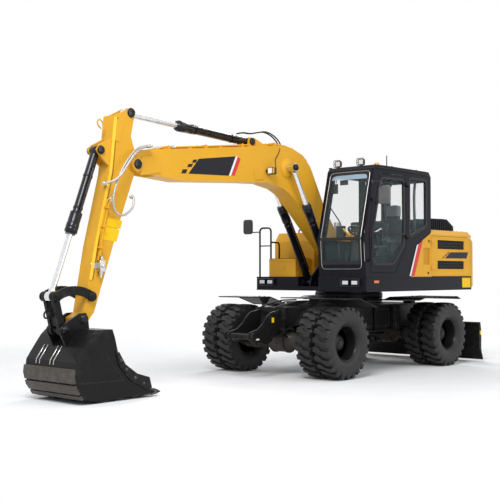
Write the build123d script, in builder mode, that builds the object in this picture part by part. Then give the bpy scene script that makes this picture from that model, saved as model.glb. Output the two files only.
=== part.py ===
# Wheeled excavator, full size, in millimetres.
# +X is forward, towards the bucket, +Y is the machine's left and +Z is up.
# The origin is on the ground under the middle of the machine's box.
import os
from math import hypot, pi, tan

from build123d import *

os.makedirs("parts", exist_ok=True)

# Places along the machine are measured from the middle of the wheelbase.
MID = -1600.0

# Running gear
WHEELBASE = 2850.0
TYRE_R = 527.5
TYRE_W = 278.0
TWIN_SPACING = 320.0
OVERALL_W = 2494.0
LUG_H = 24.0
LUG_COUNT = 24
LUG_W = 68.0
RIM_R = 262.0
HUB_R = 128.0
SPINDLE_R = 60.0
KING_PIN_R = 22.0
STEER_PIN_Y = 560.0
OUTER_TYRE_Y = OVERALL_W / 2 - TYRE_W / 2
INNER_TYRE_Y = OUTER_TYRE_Y - TWIN_SPACING
TWIN_Y = (OUTER_TYRE_Y + INNER_TYRE_Y) / 2
FRONT_X = MID + WHEELBASE / 2
REAR_X = MID - WHEELBASE / 2

# Chassis
CHASSIS_TOP = 1030.0
CHASSIS_BOTTOM = 585.0
CHASSIS_HALF_W = 520.0
NECK_HALF_W = 300.0
NECK_FRONT_X = MID + 1720
NECK_REAR_X = MID + 800
CHASSIS_REAR_X = MID - 1960
FLANGE_T = 26.0
WEB_INSET = 45.0
FENDER_T = 8.0

# Slewing upper structure
SWING_X = MID - 270
RING_R = 560.0
RING_BASE = 1150.0
DECK_BOTTOM = 1262.0
DECK_TOP = 1485.0
DECK_T = 70.0
HOUSE_HALF_W = 1240.0
HOUSE_FRONT_X = MID + 985
BOX_FRONT_X = MID + 640
TAIL_R = 2290.0
HOOD_TOP = 2256.0
HOOD_FRONT_X = MID - 848
COUNTERWEIGHT_X = MID - 2140
GAP = 0.3
CLEAR = 5.0

# Cab
CAB_FRONT_X = MID + 1000
CAB_REAR_X = HOOD_FRONT_X + 8
CAB_IN_Y = 360.0
CAB_OUT_Y = 1236.0
CAB_TOP = 3180.0
CAB_WALL = 40.0

# Pins of the working equipment in the side view, as they stand parked
BOOM_FOOT = (MID + 70, 1750.0)
BOOM_CYL_FOOT = (MID + 460, 1400.0)
BOOM_CYL_EYE = (MID + 1500, 3140.0)
ARM_CYL_FOOT = (MID + 2240, 3475.0)
ARM_PIN = (MID + 4500, 2940.0)
ARM_CYL_EYE = (MID + 4560, 3600.0)
BUCKET_CYL_FOOT = (MID + 5050, 3075.0)
GUIDE_PIN = (MID + 5200, 1256.0)
BUCKET_PIN = (MID + 5340, 983.0)
ROD_PIN = (MID + 5720, 1262.0)
LINK_PIN = (MID + 5615, 856.0)

# Widths of the working equipment across the machine, each side of the middle
BOOM_HALF_W = 150.0
CHEEK_IN = 112.0
ARM_HALF_W = 105.0
EYE_HALF_W = 45.0
FOOT_EYE_HALF_W = 62.0
LUG_IN = 68.0
LUG_OUT = 98.0
BOOM_CYL_Y = 255.0
BOOM_CYL_EYE_W = 120.0
BUCKET_HALF_W = 500.0
EAR_IN = 112.0
EAR_OUT = 142.0
PIN_R = 36.0
PIN_BORE_R = PIN_R + 0.5
LUG_HALF_T = 15.0

# Rams: barrel radius, rod radius, barrel length from its pin to the gland's end
BOOM_BARREL_R = 57.0
BOOM_ROD_R = 38.0
BOOM_BARREL_L = 1400.0
ARM_BARREL_R = 62.0
ARM_ROD_R = 40.0
ARM_BARREL_L = 1430.0
BUCKET_BARREL_R = 56.0
BUCKET_ROD_R = 35.0
BUCKET_BARREL_L = 1130.0

# Blade
BLADE_PIN = (MID - 2020, 640.0)
BLADE_HALF_W = 1245.0
BLADE_TOP = 690.0
BLADE_BOTTOM = 32.0
BLADE_X = MID - 2470
BLADE_CYL_FOOT = (MID - 2015, 940.0)
BLADE_CYL_EYE = (MID - 2345, 585.0)
BLADE_ARM_Y = 330.0
BLADE_PIN_R = 30.0
BLADE_CYL_PIN_R = 24.0
BLADE_EYE_W = 84.0
EAR_T = 30.0
BLADE_CYL_Y = 200.0


def side_plane(y):
    """Side view plane at a place across the machine; sketches there are drawn in X and Z."""
    return Plane.XZ.offset(-y)


def at(x, z):
    """A place given from the middle of the wheelbase."""
    return (MID + x, z)


def plate(points, y_low, y_high, bores=()):
    """A flat plate drawn in the side view, between two places across the machine."""
    with BuildPart() as blank:
        with BuildSketch(side_plane(y_high)):
            with BuildLine():
                Polyline(*points, close=True)
            make_face()
            for (x, z), radius in bores:
                with Locations((x, z)):
                    Circle(radius, mode=Mode.SUBTRACT)
        extrude(amount=y_high - y_low)
    return blank.part


def disc(pin, radius, y_low, y_high):
    """A round bar or boss across the machine."""
    with BuildPart() as bar:
        with BuildSketch(side_plane(y_high)):
            with Locations(pin):
                Circle(radius)
        extrude(amount=y_high - y_low)
    return bar.part


def block(x_low, x_high, y_low, y_high, z_low, z_high):
    """A plain block between its corners."""
    with BuildPart() as solid:
        with BuildSketch(Plane.XY.offset(z_low)):
            with Locations(((x_low + x_high) / 2, (y_low + y_high) / 2)):
                Rectangle(x_high - x_low, y_high - y_low)
        extrude(amount=z_high - z_low)
    return solid.part


def along(start, end, y):
    """A plane at start whose Z axis points at end, both in the side view at place y."""
    dx, dz = end[0] - start[0], end[1] - start[1]
    return Plane(origin=(start[0], y, start[1]), x_dir=(0, 1, 0), z_dir=(dx, 0, dz))


def tube(plane, radius, low, high, bore=0):
    """A round bar on a plane's axis between two heights, with an optional bore."""
    with BuildPart() as bar:
        with BuildSketch(plane.offset(low)):
            Circle(radius)
            if bore:
                Circle(bore, mode=Mode.SUBTRACT)
        extrude(amount=high - low)
    return bar.part


def mirrored(solid):
    """The same piece on the other side of the machine."""
    return mirror(solid, about=Plane.XZ)


def save(piece, name):
    """Label a finished piece and write it."""
    piece.label = name
    export_step(piece, "parts/" + name + ".step")


# Wheels: a tyre with straight lugs and a dished disc wheel, twice on each hub. Both are made of flat
# sectors, so that a flat, or a lug, stands square at the bottom.

def facet_ring(section, lugs=()):
    """A ring of flat sectors about the axle, from a section in Y and Z; each sector carries the lugs."""
    reach = 2 * TYRE_R
    half = reach * tan(pi / LUG_COUNT)
    with BuildPart() as sector:
        with BuildSketch(Plane.YZ):
            with BuildLine():
                Polyline(*section, close=True)
            make_face()
        extrude(amount=TYRE_R / 2, both=True)
        with BuildSketch(side_plane(reach * 2)):
            with BuildLine():
                Polyline((0, 0), (half, reach), (-half, reach), close=True)
            make_face()
        extrude(amount=reach * 4, mode=Mode.INTERSECT)
        for lug in lugs:
            add(lug)
    with BuildPart() as ring:
        add([sector.part.rotate(Axis.Y, 360 / LUG_COUNT * i) for i in range(LUG_COUNT)])
    return ring.part


def tyre_solid(y):
    """One tyre about the axle, with its lugs, bored for the rim."""
    bead = TYRE_W * 0.36
    wall = TYRE_W / 2
    tread = TYRE_W * 0.44
    wall_r = TYRE_R - 130
    root_r = TYRE_R - LUG_H
    lug = block(-LUG_W / 2, LUG_W / 2, y - tread, y + tread, root_r - 2, TYRE_R)
    return facet_ring([(y - bead, RIM_R), (y - wall, wall_r), (y - tread, root_r), (y + tread, root_r),
                       (y + wall, wall_r), (y + bead, RIM_R)],
                      [lug])


def tyre_pair():
    """The two tyres of a left hub, about the axle's line."""
    with BuildPart() as pair:
        for y in (INNER_TYRE_Y, OUTER_TYRE_Y):
            add(tyre_solid(y))
    return pair.part


def wheel_pair():
    """Two dished disc wheels and the hub between them, about the axle's line."""
    y_in = INNER_TYRE_Y - TYRE_W * 0.36
    y_out = OUTER_TYRE_Y + TYRE_W * 0.36
    seat_r = RIM_R - 1
    edge_r = RIM_R - 6
    lip_r = RIM_R - 18
    well_r = RIM_R - 34
    disc_r = HUB_R + 40
    # Round the section from the inner rim edge: place across from the hub's middle, radius
    section = [
        (y_in, lip_r), (y_in, edge_r), (y_in + 12, seat_r), (y_out - 12, seat_r), (y_out, edge_r),
        (y_out, lip_r),
        (TWIN_Y + 60, RIM_R - 26), (TWIN_Y + 36, well_r), (TWIN_Y + 14, disc_r), (TWIN_Y + 22, HUB_R),
        (TWIN_Y + 95, HUB_R),
        (TWIN_Y + 128, HUB_R - 22), (TWIN_Y + 150, 72), (TWIN_Y + 150, 0), (TWIN_Y + 60, 0),
        (TWIN_Y + 60, SPINDLE_R - 10),
        (TWIN_Y - 60, SPINDLE_R - 10), (TWIN_Y - 60, HUB_R), (TWIN_Y - 18, disc_r), (TWIN_Y - 40, well_r),
    ]
    with BuildPart() as wheel:
        add(facet_ring(section))
        add(disc((0, 0), SPINDLE_R + GAP, TWIN_Y - 61, TWIN_Y + 60), mode=Mode.SUBTRACT)
    return wheel.part


for kind, left in (("tyres", tyre_pair()), ("wheel", wheel_pair())):
    for side, solid in (("left", left), ("right", mirrored(left))):
        for axle, x in (("front", FRONT_X), ("rear", REAR_X)):
            save(solid.moved(Location((x, 0, TYRE_R))), "%s_%s_%s" % (kind, axle, side))

# Axles and steering knuckles
AXLE_R = 90.0
DIFF_R = 185.0
AXLE_BAY = 480.0
AXLE_BAY_TOP = 745.0
HUB_FACE_Y = TWIN_Y - 60 - CLEAR


def axle_solid(x, half_length):
    """A drive axle: a tapered housing with the differential in its middle."""
    with BuildPart() as axle:
        with BuildSketch(Plane.YZ):
            with BuildLine():
                Polyline((-half_length, 0), (-half_length, AXLE_R), (-DIFF_R - 60, AXLE_R),
                         (-DIFF_R * 0.6, DIFF_R),
                         (DIFF_R * 0.6, DIFF_R), (DIFF_R + 60, AXLE_R), (half_length, AXLE_R),
                         (half_length, 0),
                         close=True)
            make_face()
        revolve(axis=Axis.Y)
    return axle.part.moved(Location((x, 0, TYRE_R)))


YOKE_H = 130.0
YOKE_T = 26.0
YOKE_HALF = 60.0
KNUCKLE_HALF = 52.0
with BuildPart() as front_axle:
    add(axle_solid(FRONT_X, STEER_PIN_Y - 120))
    for side in (-1, 1):
        for z in (TYRE_R - YOKE_H, TYRE_R + YOKE_H - YOKE_T):
            add(block(FRONT_X - YOKE_HALF, FRONT_X + YOKE_HALF, side * STEER_PIN_Y - YOKE_HALF,
                      side * STEER_PIN_Y + YOKE_HALF, z, z + YOKE_T))
        add(block(FRONT_X - YOKE_HALF, FRONT_X + YOKE_HALF, side * (STEER_PIN_Y - 120) - 30,
                  side * (STEER_PIN_Y - 120) + 30,
                  TYRE_R - YOKE_H, TYRE_R + YOKE_H))
        for z in (TYRE_R - YOKE_H, TYRE_R + YOKE_H - YOKE_T):
            add(block(FRONT_X - YOKE_HALF, FRONT_X + YOKE_HALF, side * (STEER_PIN_Y - 75) - 60,
                      side * (STEER_PIN_Y - 75) + 60,
                      z, z + YOKE_T))
        add(tube(Plane(origin=(FRONT_X, side * STEER_PIN_Y, TYRE_R)), KING_PIN_R + GAP, -YOKE_H - 1,
                 YOKE_H + 1), mode=Mode.SUBTRACT)
    add(block(FRONT_X - 110, FRONT_X + 110, -110, 110, TYRE_R + 60, AXLE_BAY_TOP - GAP))
save(front_axle.part, "front_axle")

with BuildPart() as rear_axle:
    add(axle_solid(REAR_X, HUB_FACE_Y))
    for side in (-1, 1):
        y_in, y_out = sorted((side * (HUB_FACE_Y - 1), side * (TWIN_Y + 55)))
        add(disc((REAR_X, TYRE_R), SPINDLE_R, y_in, y_out))
        add(block(REAR_X - 90, REAR_X + 90, side * 330 - 60, side * 330 + 60, TYRE_R + 40,
                  AXLE_BAY_TOP - GAP))
save(rear_axle.part, "rear_axle")

with BuildPart() as knuckle:
    knuckle_h = YOKE_H - YOKE_T - CLEAR
    add(block(FRONT_X - KNUCKLE_HALF, FRONT_X + KNUCKLE_HALF, STEER_PIN_Y - KNUCKLE_HALF, STEER_PIN_Y + 60,
              TYRE_R - knuckle_h, TYRE_R + knuckle_h))
    with BuildSketch(Plane(origin=(FRONT_X, STEER_PIN_Y, TYRE_R), x_dir=(1, 0, 0), z_dir=(0, 1, 0))):
        Circle(85)
    extrude(amount=HUB_FACE_Y - STEER_PIN_Y)
    add(disc((FRONT_X, TYRE_R), SPINDLE_R, HUB_FACE_Y - 1, TWIN_Y + 55))
    add(tube(Plane(origin=(FRONT_X, STEER_PIN_Y, TYRE_R)), KING_PIN_R, -YOKE_H, YOKE_H))
save(knuckle.part, "knuckle_left")
save(mirrored(knuckle.part), "knuckle_right")

# Chassis: a frame of recessed webs between two flanges that narrows between the steered wheels

def frame_layer(inset, z_low, z_high):
    """The chassis outline in plan, drawn in by an inset, between two heights."""
    wide = CHASSIS_HALF_W - inset
    neck = NECK_HALF_W - inset
    tail = wide - 90
    with BuildPart() as layer:
        with BuildSketch(Plane.XY.offset(z_low)):
            with BuildLine():
                Polyline(
                    (CHASSIS_REAR_X, -tail), (REAR_X + 500, -wide), (NECK_REAR_X - 180, -wide),
                    (NECK_REAR_X, -neck),
                    (NECK_FRONT_X, -neck), (NECK_FRONT_X, neck), (NECK_REAR_X, neck),
                    (NECK_REAR_X - 180, wide),
                    (REAR_X + 500, wide), (CHASSIS_REAR_X, tail), close=True,
                )
            make_face()
        extrude(amount=z_high - z_low)
    return layer.part


RIB_T = 20.0
with BuildPart() as chassis:
    add(frame_layer(WEB_INSET, CHASSIS_BOTTOM, CHASSIS_TOP))
    add(frame_layer(0, CHASSIS_TOP - FLANGE_T, CHASSIS_TOP))
    add(frame_layer(0, CHASSIS_BOTTOM, CHASSIS_BOTTOM + FLANGE_T))
    for x in (MID - 780, MID - 300, MID + 500):
        for side in (-1, 1):
            y_in, y_out = sorted((side * (CHASSIS_HALF_W - WEB_INSET - 1), side * (CHASSIS_HALF_W - 6)))
            add(block(x, x + RIB_T, y_in, y_out, CHASSIS_BOTTOM + 1, CHASSIS_TOP - 1))
    add(block(FRONT_X - AXLE_BAY / 2, FRONT_X + AXLE_BAY / 2, -CHASSIS_HALF_W, CHASSIS_HALF_W,
              CHASSIS_BOTTOM - 1, AXLE_BAY_TOP),
        mode=Mode.SUBTRACT)
    add(block(REAR_X - AXLE_BAY / 2, REAR_X + AXLE_BAY / 2, -CHASSIS_HALF_W + 100, CHASSIS_HALF_W - 100,
              CHASSIS_BOTTOM - 1,
              AXLE_BAY_TOP), mode=Mode.SUBTRACT)
    add(disc((REAR_X, TYRE_R), AXLE_R + CLEAR, -CHASSIS_HALF_W, CHASSIS_HALF_W), mode=Mode.SUBTRACT)
    with BuildSketch(Plane.XY.offset(CHASSIS_TOP)):
        with Locations((SWING_X, 0)):
            Circle(RING_R - 20)
    extrude(amount=RING_BASE - CHASSIS_TOP - GAP)
    add(block(MID + 60, MID + 980, -NECK_HALF_W, NECK_HALF_W, CHASSIS_TOP, 1085))
    for side in (-1, 1):
        for shift in (-60, 30):
            y = side * BLADE_ARM_Y + shift
            ear = [(CHASSIS_REAR_X + 1, 720), (BLADE_PIN[0] - 50, 690), (BLADE_PIN[0] - 50, 590),
                   (CHASSIS_REAR_X + 1, 590)]
            add(plate(ear, y, y + EAR_T, [(BLADE_PIN, BLADE_PIN_R + 0.5)]))
            y = side * BLADE_CYL_Y + (shift - 17 if shift < 0 else shift + 17)
            ear = [(CHASSIS_REAR_X + 60, 1000), (BLADE_CYL_FOOT[0] - 40, 985), (BLADE_CYL_FOOT[0] - 40, 895),
                   (CHASSIS_REAR_X + 1, 860)]
            add(plate(ear, y, y + EAR_T, [(BLADE_CYL_FOOT, BLADE_CYL_PIN_R + 0.5)]))
save(chassis.part, "chassis")

with BuildPart() as turntable:
    with BuildSketch(Plane.XY.offset(RING_BASE)):
        with Locations((SWING_X, 0)):
            Circle(RING_R)
            Circle(RING_R - 130, mode=Mode.SUBTRACT)
    extrude(amount=DECK_BOTTOM - 45 - RING_BASE)
save(turntable.part, "turntable")

with BuildPart() as transmission:
    add(block(MID - 420, MID + 120, -150, 150, CHASSIS_BOTTOM - 140, CHASSIS_BOTTOM - GAP))
    shaft = Plane(origin=(MID + 120, 0, TYRE_R), x_dir=(0, 1, 0), z_dir=(1, 0, 0))
    add(tube(shaft, 42, 0, WHEELBASE / 2 - 120 - DIFF_R - GAP))
    shaft = Plane(origin=(MID - 420, 0, TYRE_R), x_dir=(0, 1, 0), z_dir=(-1, 0, 0))
    add(tube(shaft, 42, 0, WHEELBASE / 2 - 420 - DIFF_R - GAP))
save(transmission.part, "transmission")

# Front bracket: two curved arms that carry a cross tube
BRACKET_Y = 200.0
BRACKET_T = 32.0
bracket_outline = [
    (NECK_FRONT_X + GAP, 1000), at(1950, 960), at(2040, 900), at(2130, 800), at(2250, 720), at(2400, 690),
    at(2450, 650), at(2440, 590), at(2380, 560), at(2040, 500), at(1960, 530), at(1860, 640),
    (NECK_FRONT_X + GAP, 640),
]
with BuildPart() as front_bracket:
    for side in (-1, 1):
        y = side * BRACKET_Y
        add(plate(bracket_outline, y - BRACKET_T / 2, y + BRACKET_T / 2))
    add(disc(at(2395, 625), 42, -BRACKET_Y - 60, BRACKET_Y + 60))
    add(block(NECK_FRONT_X + GAP, NECK_FRONT_X + 30, -NECK_HALF_W, NECK_HALF_W, 640, 1000))
    add(block(MID + 1900, MID + 1930, -BRACKET_Y, BRACKET_Y, 600, 700))
save(front_bracket.part, "front_bracket")

# Fenders over the wheels, each with the arm that carries it
FENDER_OUT_Y = OVERALL_W / 2 - 7


def bent_sheet(top, y_in, y_out):
    """A bent sheet across the tyres; its upper line is drawn in the side view."""
    under = [(x, z - FENDER_T) for x, z in reversed(top)]
    return plate(top + under, y_in, y_out)


def fender_arm(x_low, x_high, z_top, y_in, y_root):
    """A folded arm from the chassis to the sheet's inner edge."""
    middle = (x_low + x_high) / 2
    outline = [(x_low, z_top), (x_high, z_top), (middle + 60, CHASSIS_TOP + 40),
               (middle - 60, CHASSIS_TOP + 40)]
    with BuildPart() as arm:
        add(plate(outline, y_in - 6, y_in + 4))
        add(block(middle - 60, middle + 60, y_root, y_in + 4, CHASSIS_TOP + GAP, CHASSIS_TOP + 41))
    return arm.part


FRONT_FENDER_IN_Y = 500.0
REAR_FENDER_IN_Y = 560.0
front_fender_top = [at(1560, 1172), at(1145, 1172), at(901, 1096), at(714, 1038)]
rear_fender_top = [at(20, 1125), at(-496, 1118), at(-638, 1151), at(-1660, 1156), at(-1760, 1120)]
with BuildPart() as front_left:
    add(fender_arm(MID + 1150, MID + 1420, 1166, FRONT_FENDER_IN_Y, NECK_HALF_W - 60))
    add(bent_sheet(front_fender_top, FRONT_FENDER_IN_Y, FENDER_OUT_Y))
with BuildPart() as rear_left:
    add(fender_arm(MID - 1540, MID - 1180, 1149, REAR_FENDER_IN_Y, CHASSIS_HALF_W - 120))
    add(fender_arm(MID - 110, MID + 10, 1118, REAR_FENDER_IN_Y, CHASSIS_HALF_W - 3))
    add(bent_sheet(rear_fender_top, REAR_FENDER_IN_Y, FENDER_OUT_Y))
for name, left in (("fenders_front", front_left.part), ("fenders_rear", rear_left.part)):
    with BuildPart() as fenders:
        add(left)
        add(mirrored(left))
    save(fenders.part, name)

# Dozer blade with its two arms, and the rams that hold it
BLADE_ARM_T = 48.0
blade_section = [
    (BLADE_X + 60, BLADE_TOP), (BLADE_X + 20, BLADE_TOP), (BLADE_X - 5, 560), (BLADE_X - 12, 400),
    (BLADE_X - 5, 240),
    (BLADE_X - 40, 90), (BLADE_X - 70, BLADE_BOTTOM), (BLADE_X - 45, BLADE_BOTTOM), (BLADE_X + 20, 180),
    (BLADE_X + 60, 240),
]
with BuildPart() as blade:
    add(plate(blade_section, -BLADE_HALF_W, BLADE_HALF_W))
    for side in (-1, 1):
        y = side * BLADE_ARM_Y
        arm = [(BLADE_PIN[0] + 35, 690), (BLADE_PIN[0] + 35, 590), (BLADE_X + 40, 260), (BLADE_X + 40, 420)]
        add(plate(arm, y - BLADE_ARM_T / 2, y + BLADE_ARM_T / 2))
        add(disc(BLADE_PIN, BLADE_PIN_R, y - 58, y + 58))
        for shift in (-60, 30):
            y = side * BLADE_CYL_Y + (shift - 17 if shift < 0 else shift + 17)
            lug = [(BLADE_X + 40, 670), (BLADE_CYL_EYE[0] + 45, 630), (BLADE_CYL_EYE[0] + 45, 540),
                   (BLADE_X + 40, 480)]
            add(plate(lug, y, y + EAR_T, [(BLADE_CYL_EYE, BLADE_CYL_PIN_R + 0.5)]))
save(blade.part, "blade")


GLAND_EXTRA = 5.0


def barrel_solid(foot, eye, y, radius, length, eye_w, pin_r, bore_r):
    """A ram's barrel from its foot eye to the end of its gland, bored for the rod."""
    frame = along(foot, eye, y)
    with BuildPart() as barrel:
        add(tube(frame, radius, radius * 1.1, length - 40))
        add(tube(frame, radius + GLAND_EXTRA, length - min(150, length * 0.3), length))
        add(disc(foot, radius * 1.05, y - eye_w / 2, y + eye_w / 2))
        add(tube(frame, radius * 0.8, 0, radius * 1.2))
        add(tube(frame, bore_r, radius * 1.6, length + 1), mode=Mode.SUBTRACT)
        add(disc(foot, pin_r, y - eye_w / 2 - 29, y + eye_w / 2 + 29))
    return barrel.part


def rod_solid(foot, eye, y, radius, length, reach, eye_w, eye_r):
    """A ram's rod from inside its barrel to its own eye."""
    frame = along(foot, eye, y)
    total = hypot(eye[0] - foot[0], eye[1] - foot[1])
    with BuildPart() as rod:
        add(tube(frame, radius, length - reach, total - eye_r * 0.8))
        add(tube(frame, radius * 1.25, total - eye_r * 1.5, total - eye_r * 0.6))
        add(disc(eye, eye_r, y - eye_w / 2, y + eye_w / 2))
    return rod.part


BLADE_BARREL_R = 37.0
BLADE_ROD_R = 22.0
BLADE_BARREL_L = 285.0
BLADE_ROD_REACH = 84.0
with BuildPart() as blade_barrels:
    for y in (-BLADE_CYL_Y, BLADE_CYL_Y):
        add(barrel_solid(BLADE_CYL_FOOT, BLADE_CYL_EYE, y, BLADE_BARREL_R, BLADE_BARREL_L, BLADE_EYE_W,
                         BLADE_CYL_PIN_R, BLADE_ROD_R + GAP))
save(blade_barrels.part, "blade_barrels")

with BuildPart() as blade_rods:
    for y in (-BLADE_CYL_Y, BLADE_CYL_Y):
        add(rod_solid(BLADE_CYL_FOOT, BLADE_CYL_EYE, y, BLADE_ROD_R, BLADE_BARREL_L, BLADE_ROD_REACH, 46,
                      34))
save(blade_rods.part, "blade_rods")

# House frame: deck, side skirts and the brackets that carry the boom and its rams
FOOT_PLATE_IN = BOOM_HALF_W + CLEAR
FOOT_PLATE_T = 30.0
RAM_PLATE_IN = BOOM_CYL_Y + BOOM_CYL_EYE_W / 2 + CLEAR
RAM_PLATE_T = 24.0
SKIRT_T = 30.0
HEADLAMP_Y = (880.0, 1050.0)
HEADLAMP_Z = 1400.0
HEADLAMP_W = 130.0
HEADLAMP_H = 80.0
LAMP_DEPTH = 40.0
LAMP_RIM = 9.0


def lamp(x_back, y, z, width, height):
    """A lamp with rounded corners on a face that looks forward, its lens sunk in a rim."""
    corner = height / 6
    with BuildPart() as housing:
        with BuildSketch(Plane.YZ.offset(x_back - 1)):
            with Locations((y, z)):
                RectangleRounded(width, height, corner)
        extrude(amount=LAMP_DEPTH + 1)
        with BuildSketch(Plane.YZ.offset(x_back + LAMP_DEPTH)):
            with Locations((y, z)):
                RectangleRounded(width - 2 * LAMP_RIM, height - 2 * LAMP_RIM, corner)
        extrude(amount=-LAMP_RIM / 2, mode=Mode.SUBTRACT)
    return housing.part


with BuildPart() as house_frame:
    with BuildSketch(Plane.XY.offset(DECK_BOTTOM)):
        with BuildLine():
            Polyline((COUNTERWEIGHT_X + GAP, -HOUSE_HALF_W), (BOX_FRONT_X, -HOUSE_HALF_W),
                     (BOX_FRONT_X, RAM_PLATE_IN + RAM_PLATE_T),
                     (HOUSE_FRONT_X, RAM_PLATE_IN + RAM_PLATE_T), (HOUSE_FRONT_X, HOUSE_HALF_W),
                     (COUNTERWEIGHT_X + GAP, HOUSE_HALF_W), close=True)
        make_face()
    extrude(amount=DECK_T)
    with BuildSketch(Plane.XY.offset(DECK_BOTTOM - 45 + GAP)):
        with Locations((SWING_X, 0)):
            Circle(RING_R - 10)
    extrude(amount=46)
    for side in (-1, 1):
        y = side * (HOUSE_HALF_W - SKIRT_T / 2)
        front = HOUSE_FRONT_X if side > 0 else BOX_FRONT_X
        add(block(COUNTERWEIGHT_X + GAP, front, y - SKIRT_T / 2, y + SKIRT_T / 2, DECK_BOTTOM, DECK_TOP))
        foot_plate = [
            (MID - 300, DECK_BOTTOM + 60), (MID - 250, 1500), (BOOM_FOOT[0] - 110, BOOM_FOOT[1] + 60),
            (BOOM_FOOT[0], BOOM_FOOT[1] + 110), (BOOM_FOOT[0] + 110, BOOM_FOOT[1] + 40),
            (BOOM_CYL_FOOT[0] + 60, BOOM_CYL_FOOT[1] + 90),
            (BOOM_CYL_FOOT[0] + 90, BOOM_CYL_FOOT[1] - 50), (MID + 620, DECK_BOTTOM + 60),
        ]
        y = side * (FOOT_PLATE_IN + FOOT_PLATE_T / 2)
        add(plate(foot_plate, y - FOOT_PLATE_T / 2, y + FOOT_PLATE_T / 2,
                  [(BOOM_FOOT, PIN_R + 8), (BOOM_CYL_FOOT, PIN_BORE_R)]))
        ram_plate = [(BOOM_CYL_FOOT[0] - 110, DECK_BOTTOM + 60),
                     (BOOM_CYL_FOOT[0] - 60, BOOM_CYL_FOOT[1] + 60),
                     (BOOM_CYL_FOOT[0] + 60, BOOM_CYL_FOOT[1] + 60),
                     (BOOM_CYL_FOOT[0] + 110, DECK_BOTTOM + 60)]
        y = side * (RAM_PLATE_IN + RAM_PLATE_T / 2)
        add(plate(ram_plate, y - RAM_PLATE_T / 2, y + RAM_PLATE_T / 2, [(BOOM_CYL_FOOT, PIN_BORE_R)]))
    add(block(HOUSE_FRONT_X - SKIRT_T, HOUSE_FRONT_X, RAM_PLATE_IN + RAM_PLATE_T - 1, HOUSE_HALF_W,
              DECK_BOTTOM, DECK_TOP))
    for y in HEADLAMP_Y:
        add(lamp(HOUSE_FRONT_X, y, HEADLAMP_Z, HEADLAMP_W, HEADLAMP_H))
save(house_frame.part, "house_frame")

# Counterweight: rounded in plan about the swing centre, its upper and lower edges bevelled
COUNTERWEIGHT_TOP = 2150.0
COUNTERWEIGHT_BEVEL = 70.0
with BuildPart() as counterweight:
    with BuildSketch(Plane.XY.offset(DECK_BOTTOM)):
        with Locations((SWING_X, 0)):
            Circle(TAIL_R)
        with Locations(((COUNTERWEIGHT_X + SWING_X) / 2 + 1000, 0)):
            Rectangle(abs(SWING_X - COUNTERWEIGHT_X) + 2000, 3 * TAIL_R, mode=Mode.SUBTRACT)
        with Locations((COUNTERWEIGHT_X - 500, 0)):
            Rectangle(1000, 2 * HOUSE_HALF_W, mode=Mode.INTERSECT)
    extrude(amount=COUNTERWEIGHT_TOP - DECK_BOTTOM)
    round_edges = counterweight.edges().filter_by(GeomType.CIRCLE)
    chamfer(round_edges, COUNTERWEIGHT_BEVEL)
save(counterweight.part, "counterweight")

HINGE_PIN_R = 7.0
ENGINE_HINGE = (HOOD_FRONT_X - 2, HOUSE_HALF_W + 14)
ENGINE_HINGE_Z = (1600.0, 2020.0)
CAB_HINGE = (MID - 124, CAB_OUT_Y + 26)
CAB_HINGE_Z = (2080.0, 2900.0)


def hinge_pins(place, face_y, x_far, heights):
    """Brackets on a fixed face, each with an upright hinge pin."""
    x_low, x_high = sorted((place[0], x_far))
    with BuildPart() as pins:
        for z in heights:
            add(block(x_low, x_high, face_y, place[1] + 12, z, z + 16))
            add(tube(Plane(origin=(place[0], place[1], z)), 12, 0, 16))
            add(tube(Plane(origin=(place[0], place[1], z)), HINGE_PIN_R, 0, 66))
    return pins.part


def hinge_straps(place, face_y, x_far, heights):
    """Straps on a door, each bored for its hinge pin."""
    x_low, x_high = sorted((place[0], x_far))
    with BuildPart() as straps:
        for z in heights:
            add(block(x_low, x_high, place[1] - 12, place[1] + 12, z + 16 + GAP, z + 60))
            add(block((x_low + x_high) / 2 if x_far > place[0] else x_low,
                      x_high if x_far > place[0] else (x_low + x_high) / 2,
                      face_y, place[1] + 12, z + 16 + GAP, z + 60))
            add(tube(Plane(origin=(place[0], place[1], z)), 12, 16 + GAP, 60))
            add(tube(Plane(origin=(place[0], place[1], z)), HINGE_PIN_R + GAP, 15, 61), mode=Mode.SUBTRACT)
    return straps.part


# Engine house: a bevelled roof on the front wall, side doors that swing and a lid on top
HOOD_WALL = 40.0
ROOF_LOW = 2156.0
ROOF_BEVEL = 70.0
LID_HINGE = (MID - 1278, HOOD_TOP + 14)
LID_PIN_R = 6.0
LID_KNUCKLE_R = 12.0
LID_KNUCKLES = ((-560.0, -480.0), (680.0, 760.0))


def across(points, x_low, x_high):
    """A bar drawn in Y and Z, as seen from the front, between two places along the machine."""
    with BuildPart() as bar:
        with BuildSketch(Plane.YZ.offset(x_low)):
            with BuildLine():
                Polyline(*points, close=True)
            make_face()
        extrude(amount=x_high - x_low)
    return bar.part


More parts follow.
